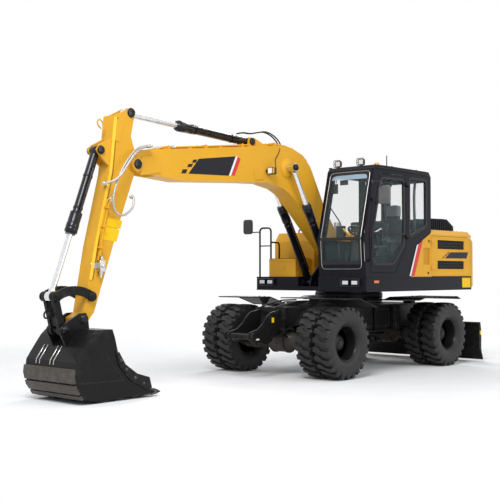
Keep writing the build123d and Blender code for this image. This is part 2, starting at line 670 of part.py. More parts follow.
roof_section = [
    (-HOUSE_HALF_W, ROOF_LOW), (-HOUSE_HALF_W, HOOD_TOP - ROOF_BEVEL), (-HOUSE_HALF_W + ROOF_BEVEL,
                                                                        HOOD_TOP),
    (HOUSE_HALF_W - ROOF_BEVEL, HOOD_TOP), (HOUSE_HALF_W, HOOD_TOP - ROOF_BEVEL), (HOUSE_HALF_W, ROOF_LOW),
]
with BuildPart() as engine_house:
    add(across(roof_section, COUNTERWEIGHT_X + GAP, HOOD_FRONT_X))
    add(block(HOOD_FRONT_X - HOOD_WALL, HOOD_FRONT_X, -HOUSE_HALF_W + 52, HOUSE_HALF_W - 52,
              DECK_BOTTOM + DECK_T + GAP, ROOF_LOW + 1))
    add(block(MID - 1990, MID - 1370, -620, 850, ROOF_LOW - 1, HOOD_TOP + 1), mode=Mode.SUBTRACT)
    for y_low, y_high in LID_KNUCKLES:
        add(disc(LID_HINGE, LID_PIN_R, y_low - 26, y_high + 1))
        add(disc(LID_HINGE, LID_KNUCKLE_R, y_low - 26, y_low - CLEAR))
        add(block(LID_HINGE[0] - 1, LID_HINGE[0] + 30, y_low - 26, y_low - CLEAR, HOOD_TOP - 1,
                  LID_HINGE[1] + LID_KNUCKLE_R))
save(engine_house.part, "engine_house")

lid_outline = [at(-2086, HOOD_TOP + GAP), at(-2086, 2356), at(-1862, 2475), at(-1338, 2463),
               at(-1300, HOOD_TOP + GAP)]
lid_hollow = [at(-2060, HOOD_TOP - 20), at(-2060, 2340), at(-1855, 2448), at(-1360, 2437),
              at(-1328, HOOD_TOP - 20)]
LID_RIBS = 7
with BuildPart() as hood_lid:
    add(plate(lid_outline, -700, 930))
    add(plate(lid_hollow, -670, 900), mode=Mode.SUBTRACT)
    for i in range(LID_RIBS):
        y = -560 + i * 230
        add(plate([at(-1850, 2470), at(-1850, 2484), at(-1350, 2472), at(-1350, 2458)], y, y + 60))
    for y_low, y_high in LID_KNUCKLES:
        add(disc(LID_HINGE, LID_KNUCKLE_R, y_low, y_high))
        add(block(MID - 1310, LID_HINGE[0], y_low, y_high, LID_HINGE[1] - 5, LID_HINGE[1] + 5))
        add(disc(LID_HINGE, LID_PIN_R + GAP, y_low - 1, y_high + 2), mode=Mode.SUBTRACT)
save(hood_lid.part, "hood_lid")

DOOR_T = 46.0
side_door_outline = [
    (COUNTERWEIGHT_X + 8, DECK_TOP + 8), (HOOD_FRONT_X - 4, DECK_TOP + 8), (HOOD_FRONT_X - 4, 2150),
    (COUNTERWEIGHT_X + 8, 2150)]
GRILLE_DEPTH = 16.0
grilles = ((MID - 1894, MID - 1031, 1940, 2090), (MID - 1890, MID - 1028, 1610, 1750))
with BuildPart() as engine_door:
    add(plate(side_door_outline, HOUSE_HALF_W - DOOR_T, HOUSE_HALF_W))
    for x_low, x_high, z_low, z_high in grilles:
        add(block(x_low, x_high, HOUSE_HALF_W - GRILLE_DEPTH, HOUSE_HALF_W + 1, z_low, z_high),
            mode=Mode.SUBTRACT)
    add(hinge_straps(ENGINE_HINGE, HOUSE_HALF_W, ENGINE_HINGE[0] - 70, ENGINE_HINGE_Z))
save(engine_door.part, "engine_door_left")
save(mirrored(engine_door.part), "engine_door_right")

PANEL_IN_Y = 1208.0
panel = [(MID - 232, DECK_TOP + GAP), (MID - 560, 2060), (HOOD_FRONT_X, HOOD_TOP - 60),
         (HOOD_FRONT_X, DECK_TOP + GAP)]
panel_recess = [(MID - 226, DECK_TOP - 1), (MID - 556, 2064), (HOOD_FRONT_X, HOOD_TOP - 54),
                (HOOD_FRONT_X, DECK_TOP - 1)]
with BuildPart() as side_panel:
    add(plate(panel, PANEL_IN_Y, HOUSE_HALF_W))
    add(block(MID - 790, MID - 600, HOUSE_HALF_W - GRILLE_DEPTH, HOUSE_HALF_W + 1, 1680, 1950),
        mode=Mode.SUBTRACT)
    add(hinge_pins(ENGINE_HINGE, HOUSE_HALF_W, ENGINE_HINGE[0] + 40, ENGINE_HINGE_Z))
save(side_panel.part, "side_panel_left")

with BuildPart() as engine:
    add(block(MID - 2050, MID - 1150, -520, 420, DECK_BOTTOM + DECK_T + GAP, 2050))
save(engine.part, "engine_block")

# Right side: fuel tank behind the tool box, front box with lamps
with BuildPart() as fuel_tank:
    add(plate([(HOOD_FRONT_X + GAP, DECK_TOP + GAP), (HOOD_FRONT_X + GAP, 2230), (MID + 60, 2230),
               (MID + 170, 2080), (MID + 170, DECK_TOP + GAP)],
              -HOUSE_HALF_W, -RAM_PLATE_IN - 60))
    add(mirrored(hinge_pins(ENGINE_HINGE, HOUSE_HALF_W, ENGINE_HINGE[0] + 40, ENGINE_HINGE_Z)))
save(fuel_tank.part, "fuel_tank")

with BuildPart() as tool_box:
    add(block(MID + 180, MID + 600, -1000, -430, DECK_TOP + GAP, 1780))
save(tool_box.part, "tool_box")

BOX_LAMP_Y = (-1090.0, -920.0)
with BuildPart() as front_box:
    add(block(MID + 175, BOX_FRONT_X - GAP, -HOUSE_HALF_W + SKIRT_T + GAP,
              -RAM_PLATE_IN - RAM_PLATE_T - GAP, DECK_BOTTOM + DECK_T + GAP, DECK_TOP))
    for y in BOX_LAMP_Y:
        add(lamp(BOX_FRONT_X - GAP, y, HEADLAMP_Z, HEADLAMP_W, HEADLAMP_H))
save(front_box.part, "front_box")

RAIL_R = 15.0
RAIL_BEND = 60.0


def rail(points):
    """A round bar bent through points, its corners rounded."""
    with BuildPart() as bar:
        with BuildLine() as path:
            FilletPolyline(*points, radius=RAIL_BEND)
        with BuildSketch(Plane(origin=path.line @ 0, z_dir=path.line % 0)):
            Circle(RAIL_R)
        sweep()
    return bar.part


RAIL_FOOT_Z = DECK_TOP + GAP
with BuildPart() as handrail:
    add(rail([(MID + 615, -1192, RAIL_FOOT_Z), (MID + 615, -1192, 2300), (MID + 600, -960, 2300),
              (MID + 600, -960, 1781)]))
    add(rail([(MID + 600, -962, 2060), (MID + 385, -962, 2060), (MID + 385, -962, 1781)]))
    add(tube(Plane(origin=(MID + 614, -1192, 2000), x_dir=(1, 0, 0), z_dir=(-15, 232, 0)), 10, 0, 232))
save(handrail.part, "handrail_right")

# Cab: hollow shell with its openings cut, door on its own hinge
cab_outline = [
    (CAB_REAR_X, DECK_TOP + GAP), (CAB_FRONT_X - 15, DECK_TOP + GAP), (CAB_FRONT_X, 1720),
    (CAB_FRONT_X + 25, 2060), (CAB_FRONT_X - 235, 3120),
    (CAB_FRONT_X - 290, CAB_TOP), (CAB_REAR_X + 60, CAB_TOP), (CAB_REAR_X, CAB_TOP - 80),
]
cab_inner = [
    (CAB_REAR_X + 60, DECK_TOP + 40), (CAB_FRONT_X - 60, DECK_TOP + 40), (CAB_FRONT_X - 45, 1720),
    (CAB_FRONT_X - 20, 2060),
    (CAB_FRONT_X - 275, 3090), (CAB_REAR_X + 60, CAB_TOP - 90),
]
windscreen = [(CAB_FRONT_X - 120, 1700), (CAB_FRONT_X + 200, 1700), (CAB_FRONT_X + 200, 3080),
              (CAB_FRONT_X - 430, 3080)]
door_hole = [(MID + 200, DECK_TOP + 60), (MID + 870, DECK_TOP + 60), (MID + 880, 2100), (MID + 620, 3060),
             (MID - 100, 3080), (MID - 120, 1980)]
quarter_window = [(MID - 200, 3040), (MID - 700, 3040), (MID - 700, 2300), (MID - 200, 2120)]
right_window = [(MID - 60, 2050), (MID + 860, 2050), (MID + 610, 3040), (MID - 60, 3040)]
with BuildPart() as cab:
    add(plate(cab_outline, CAB_IN_Y, CAB_OUT_Y))
    add(plate(cab_inner, CAB_IN_Y + CAB_WALL, CAB_OUT_Y - CAB_WALL), mode=Mode.SUBTRACT)
    add(plate(windscreen, CAB_IN_Y + 80, CAB_OUT_Y - 80), mode=Mode.SUBTRACT)
    add(plate(door_hole, CAB_OUT_Y - 100, CAB_OUT_Y + 10), mode=Mode.SUBTRACT)
    add(plate(quarter_window, CAB_IN_Y - 10, CAB_OUT_Y + 10), mode=Mode.SUBTRACT)
    add(plate(right_window, CAB_IN_Y - 10, CAB_IN_Y + 100), mode=Mode.SUBTRACT)
    add(block(CAB_REAR_X - 10, CAB_REAR_X + 80, CAB_IN_Y + 100, CAB_OUT_Y - 100, 2350, 3020),
        mode=Mode.SUBTRACT)
    add(plate(panel_recess, PANEL_IN_Y - 3, CAB_OUT_Y + 10), mode=Mode.SUBTRACT)
    add(hinge_pins(CAB_HINGE, CAB_OUT_Y, CAB_HINGE[0] - 40, CAB_HINGE_Z))
save(cab.part, "cab")

door_outline = [(MID + 206, DECK_TOP + 66), (MID + 862, DECK_TOP + 66), (MID + 871, 2100),
                (MID + 611, 3054), (MID - 94, 3074), (MID - 114, 1982)]
door_window = [(MID + 240, DECK_TOP + 200), (MID + 800, DECK_TOP + 200), (MID + 810, 2100),
               (MID + 580, 2990), (MID - 40, 3000), (MID - 50, 2010)]
with BuildPart() as cab_door:
    add(plate(door_outline, CAB_OUT_Y - CAB_WALL, CAB_OUT_Y))
    add(plate(door_window, CAB_OUT_Y - CAB_WALL - 1, CAB_OUT_Y + 1), mode=Mode.SUBTRACT)
    add(hinge_straps(CAB_HINGE, CAB_OUT_Y, CAB_HINGE[0] + 66, CAB_HINGE_Z))
save(cab_door.part, "cab_door")

GLASS_T = 6.0
with BuildPart() as door_glass:
    add(plate(door_window, CAB_OUT_Y - 22, CAB_OUT_Y - 22 + GLASS_T))
save(door_glass.part, "door_glass")

windscreen_pane = [(CAB_FRONT_X - 15, 1700), (CAB_FRONT_X + 10, 2060), (CAB_FRONT_X - 239, 3080),
                   (CAB_FRONT_X - 246, 3080), (CAB_FRONT_X + 3, 2060),
                   (CAB_FRONT_X - 22, 1700)]
with BuildPart() as cab_glass:
    add(plate(windscreen_pane, CAB_IN_Y + 80, CAB_OUT_Y - 80))
    add(plate(quarter_window, CAB_OUT_Y - 22, CAB_OUT_Y - 22 + GLASS_T))
    add(plate(quarter_window, CAB_IN_Y + 16, CAB_IN_Y + 16 + GLASS_T))
    add(plate(right_window, CAB_IN_Y + 16, CAB_IN_Y + 16 + GLASS_T))
    add(block(CAB_REAR_X + 20, CAB_REAR_X + 26, CAB_IN_Y + 100, CAB_OUT_Y - 100, 2350, 3020))
save(cab_glass.part, "cab_glass")

# Fittings on the roof and the mirrors on their arms
ROOF_LAMP_X = MID + 600
ROOF_LAMP_Y = (460.0, 900.0)
ROOF_LAMP_SIZE = 96.0
BEACON_X = MID + 210
BEACON_R = 55.0
BEACON_H = 92.0
with BuildPart() as roof_fittings:
    for y in ROOF_LAMP_Y:
        add(lamp(ROOF_LAMP_X, y, CAB_TOP + 24 + ROOF_LAMP_SIZE / 2, ROOF_LAMP_SIZE * 1.1, ROOF_LAMP_SIZE))
        add(block(ROOF_LAMP_X - 1, ROOF_LAMP_X + 30, y - 14, y + 14, CAB_TOP + GAP, CAB_TOP + 30))
    beacon = [(0, 0), (BEACON_R, 0), (BEACON_R, 16), (BEACON_R - 9, 18), (BEACON_R - 12, BEACON_H - 22),
              (BEACON_R - 30, BEACON_H), (0, BEACON_H)]
    with BuildSketch(side_plane(ROOF_LAMP_Y[1])):
        with BuildLine():
            Polyline(*[(BEACON_X + r, CAB_TOP + GAP + h) for r, h in beacon], close=True)
        make_face()
    revolve(axis=Axis((BEACON_X, ROOF_LAMP_Y[1], 0), (0, 0, 1)))
    add(tube(Plane(origin=(MID - 70, ROOF_LAMP_Y[1], CAB_TOP + GAP)), 8, 0, 235))
save(roof_fittings.part, "roof_fittings")

with BuildPart() as mirror_left:
    add(block(MID + 790, MID + 830, 1345, 1560, 2560, 2850))
    add(block(MID + 815, MID + 835, CAB_OUT_Y + GAP, 1400, 2900, 2920))
    add(block(MID + 815, MID + 835, 1380, 1400, 2850, 2920))
save(mirror_left.part, "mirror_left")

with BuildPart() as mirror_right:
    add(block(MID + 610, MID + 650, -1560, -1345, 2200, 2460))
    add(block(MID + 605, MID + 625, -1400, -1207 - GAP, 2225, 2245))
save(mirror_right.part, "mirror_right")

with BuildPart() as seat:
    add(block(MID - 350, MID + 150, 560, 1040, DECK_TOP + 40 + GAP, 1980))
    add(block(MID - 480, MID - 340, 560, 1040, 1900, 2650))
save(seat.part, "seat")

STEER_WHEEL = (MID + 545, 2185.0)
STEER_WHEEL_R = 185.0
STEER_WHEEL_FACES = 16
with BuildPart() as column:
    floor_z = DECK_TOP + 40 + GAP
    add(plate([(MID + 520, floor_z), (MID + 760, floor_z), (MID + 700, floor_z + 90), (MID + 640, 1990),
               (MID + 565, 2160),
               (MID + 525, 2150), (MID + 590, 1960), (MID + 600, floor_z + 90)], 745, 855))
    wheel_plane = Plane(origin=(STEER_WHEEL[0], 800, STEER_WHEEL[1]), x_dir=(0, 1, 0), z_dir=(-1, 0, 2))
    add(tube(wheel_plane, 30, -70, 6))
    with BuildSketch(wheel_plane.offset(-8)):
        RegularPolygon(STEER_WHEEL_R, STEER_WHEEL_FACES)
        RegularPolygon(STEER_WHEEL_R - 26, STEER_WHEEL_FACES, mode=Mode.SUBTRACT)
        with PolarLocations(STEER_WHEEL_R / 2 - 6, 3, start_angle=90):
            Rectangle(STEER_WHEEL_R - 24, 24)
    extrude(amount=20)
save(column.part, "steering_column")

# Boom: a box of constant width whose tip is a clevis round the arm
boom_outline = [
    at(4560, 3060), at(4440, 3130), at(1700, 3468), at(1400, 3460), at(1120, 3370), at(940, 3210),
    at(815, 3000), at(560, 2560), at(-40, 1840),
    at(-55, 1760), at(-25, 1670), at(50, 1626), at(150, 1640), at(470, 1930), at(1300, 2650),
    at(1450, 2760), at(1620, 2830), at(1960, 2885),
    at(2370, 2867), at(3680, 2786), at(4440, 2835), at(4560, 2860), at(4600, 2940),
]
CLEVIS_X = MID + 4150
WORK_LAMP = at(1940, 3057)
WORK_LAMP_Y = 222.0
BOOM_EYE_IN = BOOM_CYL_Y - BOOM_CYL_EYE_W / 2 - 2
with BuildPart() as boom:
    add(plate(boom_outline, -BOOM_HALF_W, BOOM_HALF_W))
    add(block(CLEVIS_X, MID + 4700, -CHEEK_IN, CHEEK_IN, 2600, 3300), mode=Mode.SUBTRACT)
    add(disc(BOOM_CYL_EYE, 95, -BOOM_HALF_W - 35, BOOM_HALF_W + 35))
    add(disc(BOOM_CYL_EYE, 45, -BOOM_EYE_IN, BOOM_EYE_IN))
    add(disc(BOOM_FOOT, PIN_R + 7, -FOOT_PLATE_IN - FOOT_PLATE_T, FOOT_PLATE_IN + FOOT_PLATE_T))
    add(disc(ARM_PIN, PIN_R, -BOOM_HALF_W - 15, BOOM_HALF_W + 15))
    for side in (-1, 1):
        y = side * (LUG_IN + LUG_OUT) / 2
        lug = [(ARM_CYL_FOOT[0] - 420, 3400), (ARM_CYL_FOOT[0] - 60, ARM_CYL_FOOT[1] + 55),
               (ARM_CYL_FOOT[0] + 60, ARM_CYL_FOOT[1] + 55),
               (ARM_CYL_FOOT[0] + 90, 3340)]
        add(plate(lug, y - LUG_HALF_T, y + LUG_HALF_T, [(ARM_CYL_FOOT, PIN_BORE_R)]))
    add(block(WORK_LAMP[0] - 14, WORK_LAMP[0] + 10, BOOM_HALF_W - 1, WORK_LAMP_Y, WORK_LAMP[1] - 20,
              WORK_LAMP[1] + 20))
    add(lamp(WORK_LAMP[0], WORK_LAMP_Y, WORK_LAMP[1], ROOF_LAMP_SIZE, ROOF_LAMP_SIZE))
save(boom.part, "boom")

with BuildPart() as boom_barrels:
    for y in (-BOOM_CYL_Y, BOOM_CYL_Y):
        add(barrel_solid(BOOM_CYL_FOOT, BOOM_CYL_EYE, y, BOOM_BARREL_R, BOOM_BARREL_L, BOOM_CYL_EYE_W,
                         PIN_R, BOOM_ROD_R + GAP))
save(boom_barrels.part, "boom_barrels")

with BuildPart() as boom_rods:
    for y in (-BOOM_CYL_Y, BOOM_CYL_Y):
        add(rod_solid(BOOM_CYL_FOOT, BOOM_CYL_EYE, y, BOOM_ROD_R, BOOM_BARREL_L, 700, BOOM_CYL_EYE_W, 62))
save(boom_rods.part, "boom_rods")

# Hoses that loop from the boom's tip to the arm, outside the arm's swing. Each route gives the place
# along, across and up; the ends turn inwards and stop short of their fittings on the arm.
HOSE_R = 15.0
HOSE_FITTING_R = 24.0
HOSE_FITTING_Y = 126.0
HOSE_ENDS = (at(4560, 2520), at(5000, 2660))
hose_routes = {
    "arm_hose_long": [
        (4370, 186, 3180), (4490, 192, 3165), (4630, 200, 3060), (4790, 206, 2860), (4905, 208, 2630),
        (4950, 206, 2420),
        (4890, 204, 2280), (4760, 200, 2260), (4640, 196, 2340), (4575, 186, 2430), (4560, 152, 2510)],
    "arm_hose_short": [
        (4370, 230, 3180), (4500, 240, 3150), (4640, 248, 3040), (4760, 252, 2880), (4860, 248, 2750),
        (4950, 216, 2680),
        (5000, 152, 2660)],
}


def hose(name, places):
    """A hose of straight runs joined by arcs as large as the runs allow; prints its radii and length."""
    points = [Vector(MID + x, y, z) for x, y, z in places]
    runs = [(after - before).length for before, after in zip(points, points[1:])]
    radii = []
    for i in range(1, len(points) - 1):
        turn = (points[i] - points[i - 1]).get_angle(points[i + 1] - points[i])
        radii.append(0.45 * min(runs[i - 1], runs[i]) / tan(turn * pi / 360))
    with BuildPart() as tube_part:
        with BuildLine() as path:
            FilletPolyline(*points, radius=radii)
        with BuildSketch(Plane(origin=path.line @ 0, z_dir=path.line % 0)):
            Circle(HOSE_R)
        sweep()
    length = path.wire().length
    ratio = tube_part.part.volume / (pi * HOSE_R ** 2 * length)
    print(name, "length %.0f, least radius %.0f, volume ratio %.4f" % (length, min(radii), ratio))
    return tube_part.part


for name, places in hose_routes.items():
    save(hose(name, places), name)

# Arm with its lugs and the banana shaped guide links
arm_outline = [at(4640, 3500), at(4845, 3540), at(4930, 2790), at(5160, 1867), at(5310, 1060),
               at(5425, 1000), at(5420, 940), at(5340, 898),
               at(5265, 930), at(5150, 1060), at(4733, 2229), at(4500, 2835), at(4400, 2890),
               at(4400, 2990), at(4506, 3123)]
with BuildPart() as arm:
    add(plate(arm_outline, -ARM_HALF_W, ARM_HALF_W, [(ARM_PIN, PIN_BORE_R), (BUCKET_PIN, PIN_BORE_R),
                                                     (GUIDE_PIN, 30.5)]))
    for side in (-1, 1):
        y = side * (LUG_IN + LUG_OUT) / 2
        top_lug = [at(4830, 3530), (ARM_CYL_EYE[0], ARM_CYL_EYE[1] + 70),
                   (ARM_CYL_EYE[0] - 65, ARM_CYL_EYE[1] + 20), (ARM_CYL_EYE[0] - 50, ARM_CYL_EYE[1] - 60),
                   at(4560, 3300)]
        add(plate(top_lug, y - LUG_HALF_T, y + LUG_HALF_T))
        front_lug = [at(4860, 3250), (BUCKET_CYL_FOOT[0] + 20, BUCKET_CYL_FOOT[1] + 65),
                     (BUCKET_CYL_FOOT[0] + 62, BUCKET_CYL_FOOT[1]), (BUCKET_CYL_FOOT[0] + 20,
                                                                     BUCKET_CYL_FOOT[1] - 60),
                                                                     at(4910, 2880)]
        add(plate(front_lug, y - LUG_HALF_T, y + LUG_HALF_T, [(BUCKET_CYL_FOOT, PIN_BORE_R)]))
    for pin in HOSE_ENDS:
        add(disc(pin, HOSE_FITTING_R, ARM_HALF_W - 1, HOSE_FITTING_Y))
save(arm.part, "arm")

save(barrel_solid(ARM_CYL_FOOT, ARM_CYL_EYE, 0, ARM_BARREL_R, ARM_BARREL_L, 2 * FOOT_EYE_HALF_W, PIN_R,
                  ARM_ROD_R + GAP), "arm_barrel")
save(rod_solid(ARM_CYL_FOOT, ARM_CYL_EYE, 0, ARM_ROD_R, ARM_BARREL_L, 650, 2 * EYE_HALF_W, 66), "arm_rod")
save(barrel_solid(BUCKET_CYL_FOOT, ROD_PIN, 0, BUCKET_BARREL_R, BUCKET_BARREL_L, 2 * FOOT_EYE_HALF_W, PIN_R,
                  BUCKET_ROD_R + GAP), "bucket_barrel")
save(rod_solid(BUCKET_CYL_FOOT, ROD_PIN, 0, BUCKET_ROD_R, BUCKET_BARREL_L, 450, 2 * EYE_HALF_W, 60),
     "bucket_rod")

GUIDE_IN = ARM_HALF_W + 7
GUIDE_T = 28.0
with BuildPart() as guide_links:
    for side in (-1, 1):
        y = side * (GUIDE_IN + GUIDE_T / 2)
        with BuildSketch(side_plane(y + GUIDE_T / 2)):
            with BuildLine():
                ThreePointArc(GUIDE_PIN, ((GUIDE_PIN[0] + ROD_PIN[0]) / 2, GUIDE_PIN[1] + 75), ROD_PIN)
            trace(line_width=110)
            with Locations(GUIDE_PIN, ROD_PIN):
                Circle(62)
        extrude(amount=GUIDE_T)
    add(disc(GUIDE_PIN, 30, -GUIDE_IN - GUIDE_T - 8, GUIDE_IN + GUIDE_T + 8))
save(guide_links.part, "guide_links")

LINK_IN = 55.0
LINK_OUT = 104.0
with BuildPart() as bucket_link:
    frame = along(LINK_PIN, ROD_PIN, 0)
    length = hypot(ROD_PIN[0] - LINK_PIN[0], ROD_PIN[1] - LINK_PIN[1])
    for side in (-1, 1):
        low, high = sorted((side * LINK_IN, side * LINK_OUT))
        add(disc(LINK_PIN, 62, low, high))
        add(disc(ROD_PIN, 62, low, high))
        with BuildSketch(frame):
            with Locations((side * (LINK_IN + LINK_OUT) / 2, 0)):
                Rectangle(LINK_OUT - LINK_IN, 90)
        extrude(amount=length)
    with BuildSketch(frame.offset(60)):
        Rectangle(2 * LINK_IN + 2, 60)
    extrude(amount=length - 250)
    add(disc(LINK_PIN, 34, -EAR_OUT - 12, EAR_OUT + 12))
save(bucket_link.part, "bucket_link")

# Bucket: curved shell between two side plates, cutting edge and teeth
bucket_outer = [
    at(5181, 868), at(5404, 868), at(5500, 787), at(5594, 663), at(5712, 499), at(5735, 340), at(5700, 205),
    at(5600, 65), at(5420, 22),
    at(4600, 45), at(4480, 55), at(4620, 110), at(4600, 240), at(4800, 300), at(4990, 424), at(5095, 588),
    at(5140, 760),
]
bucket_inner = [
    at(5215, 846), at(5394, 846), at(5480, 770), at(5574, 647), at(5690, 490), at(5712, 342), at(5680, 218),
    at(5588, 88), at(5418, 46),
    at(4450, 74), at(4450, 400), at(4700, 600), at(5000, 846),
]
CUTTER_T = 14.0
with BuildPart() as bucket:
    add(plate(bucket_outer, -BUCKET_HALF_W, BUCKET_HALF_W))
    add(plate(bucket_inner, -BUCKET_HALF_W + 22, BUCKET_HALF_W - 22), mode=Mode.SUBTRACT)
    for side in (-1, 1):
        y = side * (EAR_IN + EAR_OUT) / 2
        ear = [at(5250, 860), (BUCKET_PIN[0] - 75, BUCKET_PIN[1]), (BUCKET_PIN[0] - 40, BUCKET_PIN[1] + 75),
               (BUCKET_PIN[0] + 50, BUCKET_PIN[1] + 72),
               (LINK_PIN[0] + 20, LINK_PIN[1] + 72), (LINK_PIN[0] + 72, LINK_PIN[1] + 10),
               (LINK_PIN[0] + 60, LINK_PIN[1] - 40),
               at(5590, 655), at(5500, 775), at(5400, 860)]
        add(plate(ear, y - LUG_HALF_T, y + LUG_HALF_T, [(LINK_PIN, 34.5)]))
    for i in range(5):
        y = (i - 2) * 225.0
        tooth = [at(4560, 30), at(4560, 90), at(4395, 62), at(4390, 48)]
        add(plate(tooth, y - 32, y + 32))
    lip_cut = [at(5100, 800), at(5358, 800), at(5358, 900), at(5100, 900)]
    add(plate(lip_cut, -EAR_IN, EAR_IN), mode=Mode.SUBTRACT)
    for side in (-1, 1):
        y_in, y_out = sorted((side * (BUCKET_HALF_W - 1), side * (BUCKET_HALF_W + CUTTER_T)))
        cutter = [at(4560, 120), at(4640, 100), at(4900, 230), at(5080, 420), at(5140, 600), at(5085, 590),
                  at(4985, 436), at(4800, 312),
                  at(4600, 252)]
        add(plate(cutter, y_in, y_out))
        back_rib = [at(5735, 345), at(5750, 335), at(5714, 195), at(5608, 50), at(5424, 6), at(4620, 30),
                    at(4620, 45), at(5420, 24),
                    at(5600, 66), at(5700, 206)]
        for y in (side * 180, side * 420):
            add(plate(back_rib, y - 22, y + 22))
    add(disc(BUCKET_PIN, PIN_R, -EAR_OUT - 12, EAR_OUT + 12))
save(bucket.part, "bucket")
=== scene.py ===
# Wheeled excavator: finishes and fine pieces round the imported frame
from math import cos, hypot, pi, radians, sin, sqrt

import bmesh
import bpy
from mathutils import Matrix, Vector


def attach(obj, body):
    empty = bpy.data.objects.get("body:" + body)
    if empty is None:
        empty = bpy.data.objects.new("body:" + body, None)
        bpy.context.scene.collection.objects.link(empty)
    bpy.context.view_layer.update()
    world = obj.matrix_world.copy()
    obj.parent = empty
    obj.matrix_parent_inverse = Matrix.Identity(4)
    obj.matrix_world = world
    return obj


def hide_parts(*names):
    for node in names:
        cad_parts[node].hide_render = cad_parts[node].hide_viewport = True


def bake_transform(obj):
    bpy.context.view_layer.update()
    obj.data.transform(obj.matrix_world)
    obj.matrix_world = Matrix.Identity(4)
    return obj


bl_info = {
    "name": "Wheeled Excavator",
    "version": (1, 0, 0),
    "blender": (4, 5, 0),
    "location": "View3D > Sidebar > Excavator",
    "description": "Finishes, fittings and studio for a wheeled excavator on twin tyres",
    "category": "Object",
}

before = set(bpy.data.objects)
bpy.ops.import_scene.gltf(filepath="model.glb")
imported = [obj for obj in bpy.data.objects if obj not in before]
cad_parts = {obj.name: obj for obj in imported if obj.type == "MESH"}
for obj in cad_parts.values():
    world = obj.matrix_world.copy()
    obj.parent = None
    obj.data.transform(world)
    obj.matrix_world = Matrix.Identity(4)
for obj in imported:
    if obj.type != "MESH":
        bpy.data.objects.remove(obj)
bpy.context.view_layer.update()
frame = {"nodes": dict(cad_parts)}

# Places are given in metres from the middle of the wheelbase; the frame's origin lies MID behind it
MID = -1.6
SWING = -0.27

# Pins of the working equipment in the side view
BOOM_FOOT = (0.07, 1.75)
BOOM_CYL_FOOT = (0.46, 1.4)
BOOM_CYL_EYE = (1.5, 3.14)
ARM_CYL_FOOT = (2.24, 3.475)
ARM_PIN = (4.5, 2.94)
ARM_CYL_EYE = (4.56, 3.6)
BUCKET_CYL_FOOT = (5.05, 3.075)
GUIDE_PIN = (5.2, 1.256)
BUCKET_PIN = (5.34, 0.983)
ROD_PIN = (5.72, 1.262)
LINK_PIN = (5.615, 0.856)

WHEELBASE = 2.85
TYRE_RADIUS = 0.5275
TYRE_WIDTH = 0.278
TYRE_Y = (1.108, 0.788)
RIM_RADIUS = 0.262
SKIRT_Y = 1.24
CAB_LEFT = 1.236
CAB_RIGHT = 0.36
BOOM_SIDE = 0.15
ARM_SIDE = 0.105
SHARP_EDGE = radians(38)
SIDES = (("left", 1), ("right", -1))
BOOM_CYL_Y = 0.255


def colour_setting(name, description, default):
    """A colour that can be set in the panel."""
    return bpy.props.FloatVectorProperty(name=name, description=description, default=default,
                                         subtype="COLOR", min=0.0, max=1.0)


def length_setting(name, description, default):
    """A length that can be set in the panel."""
    return bpy.props.FloatProperty(name=name, description=description, default=default, unit="LENGTH")


class PaintColours(bpy.types.PropertyGroup):
    """Colours of the paint, plastics and rubber"""

    yellow: colour_setting("Body paint", "Warm yellow of the boom, arm and engine house",
                           (0.72, 0.365, 0.018))
    black: colour_setting("Cab paint", "Near-black paint of the cab, skirts and barrels",
                          (0.0052, 0.0056, 0.01))
    frame: colour_setting("Lower frame paint", "Satin black of the chassis and blade",
                          (0.0085, 0.008, 0.0082))
    red: colour_setting("Stripe", "Red of the stripes", (0.62, 0.03, 0.035))
    rubber: colour_setting("Rubber", "Tyre rubber", (0.0125, 0.0122, 0.013))
    wear: bpy.props.FloatProperty(name="Dust", description="How much dust lies on the lower machine",
                                  default=0.35, min=0.0, max=1.0, subtype="FACTOR")


class LineSizes(bpy.types.PropertyGroup):
    """Pipes and hoses"""

    pipe: length_setting("Pipe radius", "Radius of the steel pipes", 0.0125)
    small_hose: length_setting("Small hose radius", "Radius of the short hoses", 0.011)


class TreadSizes(bpy.types.PropertyGroup):
    """Tyre tread"""

    count: bpy.props.IntProperty(name="Lugs", description="Lugs round one side of a tyre", default=24,
                                 min=8)
    height: length_setting("Lug height", "Depth of the tread", 0.034)
    lean: bpy.props.FloatProperty(name="Lug lean", description="Angle of a lug from straight across",
                                  default=radians(27), subtype="ANGLE")


class StudioSettings(bpy.types.PropertyGroup):
    """Camera and lamps"""

    lens: bpy.props.FloatProperty(name="Lens", description="Focal length in millimetres", default=67.19,
                                  subtype="DISTANCE_CAMERA")
    yaw: bpy.props.FloatProperty(name="Camera turn", description="Where the camera looks, from forward",
                                 default=radians(222.223), subtype="ANGLE")
    pitch: bpy.props.FloatProperty(name="Camera pitch", description="How far the camera looks up",
                                   default=radians(1.454), subtype="ANGLE")
    key: bpy.props.FloatProperty(name="Key lamp", description="Power of the key lamp", default=1150.0,
                                 unit="POWER")


def spot(x, y, z):
    """A place given from the middle of the wheelbase."""
    return Vector((MID + x, y, z))


# Materials

def material(name):
    """A new node material, its tree and shader, and the position in the row frame for its textures."""
    made = bpy.data.materials.new(name)
    made.use_nodes = True
    tree = made.node_tree
    return made, tree, tree.nodes["Principled BSDF"], node(tree, "ShaderNodeTexCoord").outputs["Object"]


def node(tree, kind, **values):
    """Adds a node; a value goes to the input or property of that name."""
    added = tree.nodes.new(kind)
    for key, value in values.items():
        if key in added.inputs:
            added.inputs[key].default_value = value
        else:
            setattr(added, key, value)
    return added


def dial(target, values):
    """Sets the inputs of a node by name."""
    for name, value in values.items():
        target.inputs[name].default_value = value


def noise(tree, position, scale, detail=4.0, roughness=0.55):
    """A cloud pattern."""
    cloud = node(tree, "ShaderNodeTexNoise", Scale=scale, Detail=detail, Roughness=roughness)
    tree.links.new(position, cloud.inputs["Vector"])
    return cloud.outputs["Fac"]


